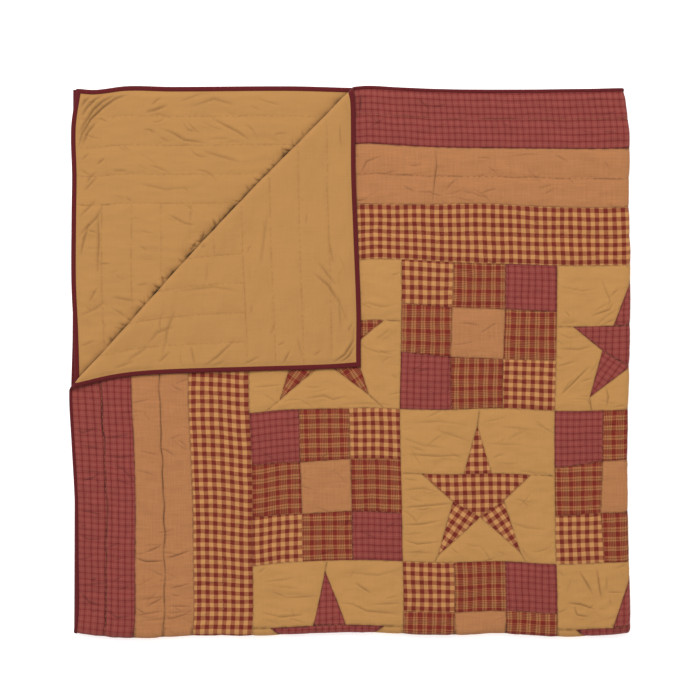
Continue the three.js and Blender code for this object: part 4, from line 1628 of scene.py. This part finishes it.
# Half of the strip's cross-section, by how far out of the quilt's edge and how high
BINDING_SECTION = [
    (-10.0, 1.5),
    (-9.9, 2.0),
    (-8.6, 2.35),
    (-6.0, 2.5),
    (-3.0, 2.4),
    (-1.0, 2.2),
    (0.6, 1.8),
    (1.5, 1.0),
    (1.8, 0.0),
]
BINDING_REACH = 10  # of the section above, which is drawn in to each edge's own width
BINDING_STEP = 5
BINDING_WAVE = 0.22
SIDE_TRAVEL = 2280  # from one side to the next the weave goes on by this much
BIAS = math.sqrt(0.5)  # the strip is cut slantwise, half way between the warp and the weft

section = BINDING_SECTION + [(out, -height) for out, height in BINDING_SECTION[-2::-1]]
places_round, travel = [], []
for side, (a, b) in enumerate(quilt_sides):
    length = math.dist(a, b)
    shares = np.linspace(0, 1, round(length / BINDING_STEP) + 1)
    marks = fold_marks(a, b)
    if len(marks):
        shares = shares[np.abs(shares[:, None] - marks[None, :]).min(1) * length > MARK_ROOM]
        shares = np.sort(np.concatenate([shares, marks]))
    if shares[0] > 0:
        shares = np.concatenate([[0], shares])
    shares = shares[shares < 1 - 1e-9]
    places_round.append(mix(np.sign(a), np.sign(b), shares[:, None]))
    travel += list(side * SIDE_TRAVEL + shares * length)
places_round = np.concatenate(places_round)  # as shares of the quilt's half width and half length
stations = len(places_round)

rings = []
for out, height in section:
    reach = out
    if out < 0:
        reach = out / BINDING_REACH * (BINDING_WIDTH if height < 0 else NARROW_BINDING)
    ring = places_round * [HALF_WIDTH + reach, HALF_LENGTH + reach]
    rings.append(np.column_stack([ring, np.full(stations, height)]))
rings = np.array(rings)
u, v, heights = rings.reshape(-1, 3).T
wave = crinkle(np.stack([u, v], 1), (14, 14), 1.7) * BINDING_WAVE
around = [0]
for here, there in zip(section, section[1:]):
    around.append(around[-1] + math.dist(here, there))
travel.append(travel[-1] + BINDING_STEP)
faces, weave = [], []
for k in range(len(section) - 1):
    for n in range(stations):
        low, high = k * stations, (k + 1) * stations
        after = (n + 1) % stations
        faces.append((low + n, high + n, high + after, low + after))
        for across, along in ((k, n), (k + 1, n), (k + 1, n + 1), (k, n + 1)):
            weave.append((travel[along] + around[across], travel[along] - around[across]))

places = folded(u, v, heights + np.sign(heights) * wave)
binding_strip = new_piece("binding_strip", places, np.array(faces), [binding_cloth])
lay_out(binding_strip.data, "cloth", np.array(weave) * BIAS * MM)
# painted shade along the binding's stitched-down inner edges
binding_seam_shade = bell(np.repeat([out for out, _ in section], stations) + BINDING_REACH, 0.8)
binding_strip.data.attributes.new("ditch", "FLOAT", "POINT").data.foreach_set("value", binding_seam_shade)
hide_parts("binding")

# The studio: a plain white floor, one even soft light all round and a broad one above the quilt's upper
# edge, and a camera straight above on a long lens, so that nothing leans outwards.
floor_material = bpy.data.materials.new("floor_white")
floor_material.use_nodes = True
floor_shader = floor_material.node_tree.nodes["Principled BSDF"]
floor_wire = Wire(floor_material.node_tree)
floor_noise = floor_wire.node("TexNoise", sockets={"Scale": 3.0})
floor_material.node_tree.links.new((floor_noise * 0.02 + 0.9).socket, floor_shader.inputs["Roughness"])
floor_shader.inputs["Base Color"].default_value = (0.96, 0.96, 0.96, 1)
floor_shader.inputs["Emission Color"].default_value = (1, 1, 1, 1)
floor_shader.inputs["Emission Strength"].default_value = 0.5
floor_mesh = bpy.data.meshes.new("floor")
floor_mesh.from_pydata([(-6, -6, 0), (6, -6, 0), (6, 6, 0), (-6, 6, 0)], [], [(0, 1, 2, 3)])
floor_mesh.materials.append(floor_material)
floor = bpy.data.objects.new("floor", floor_mesh)
floor.location.z = -0.0005
bpy.context.scene.collection.objects.link(floor)

world = bpy.data.worlds.new("studio")
bpy.context.scene.world = world
world.use_nodes = True
world.node_tree.nodes["Background"].inputs["Color"].default_value = (1, 1, 1, 1)
world.node_tree.nodes["Background"].inputs["Strength"].default_value = 0.6
softbox = bpy.data.lights.new("softbox", "AREA")
softbox.shape = "SQUARE"
softbox.size = 3.1
softbox.energy = 264
softbox_object = bpy.data.objects.new("softbox", softbox)
softbox_object.location = (-1.0, 3.4, 5.0)
softbox_object.rotation_euler = softbox_object.location.to_track_quat("Z", "Y").to_euler()
bpy.context.scene.collection.objects.link(softbox_object)

CAMERA_HEIGHT = 4.0
FRAME_WIDTH = 1.443
QUILT_TOP = 0.025
SENSOR = 36
lens = bpy.data.cameras.new("camera")
lens.sensor_width = SENSOR
lens.lens = SENSOR * (CAMERA_HEIGHT - QUILT_TOP) / FRAME_WIDTH
camera = bpy.data.objects.new("camera", lens)
camera.location = (0.0014, 0.0245, CAMERA_HEIGHT)
bpy.context.scene.collection.objects.link(camera)
bpy.context.scene.camera = camera
bpy.context.scene.view_settings.view_transform = "Standard"
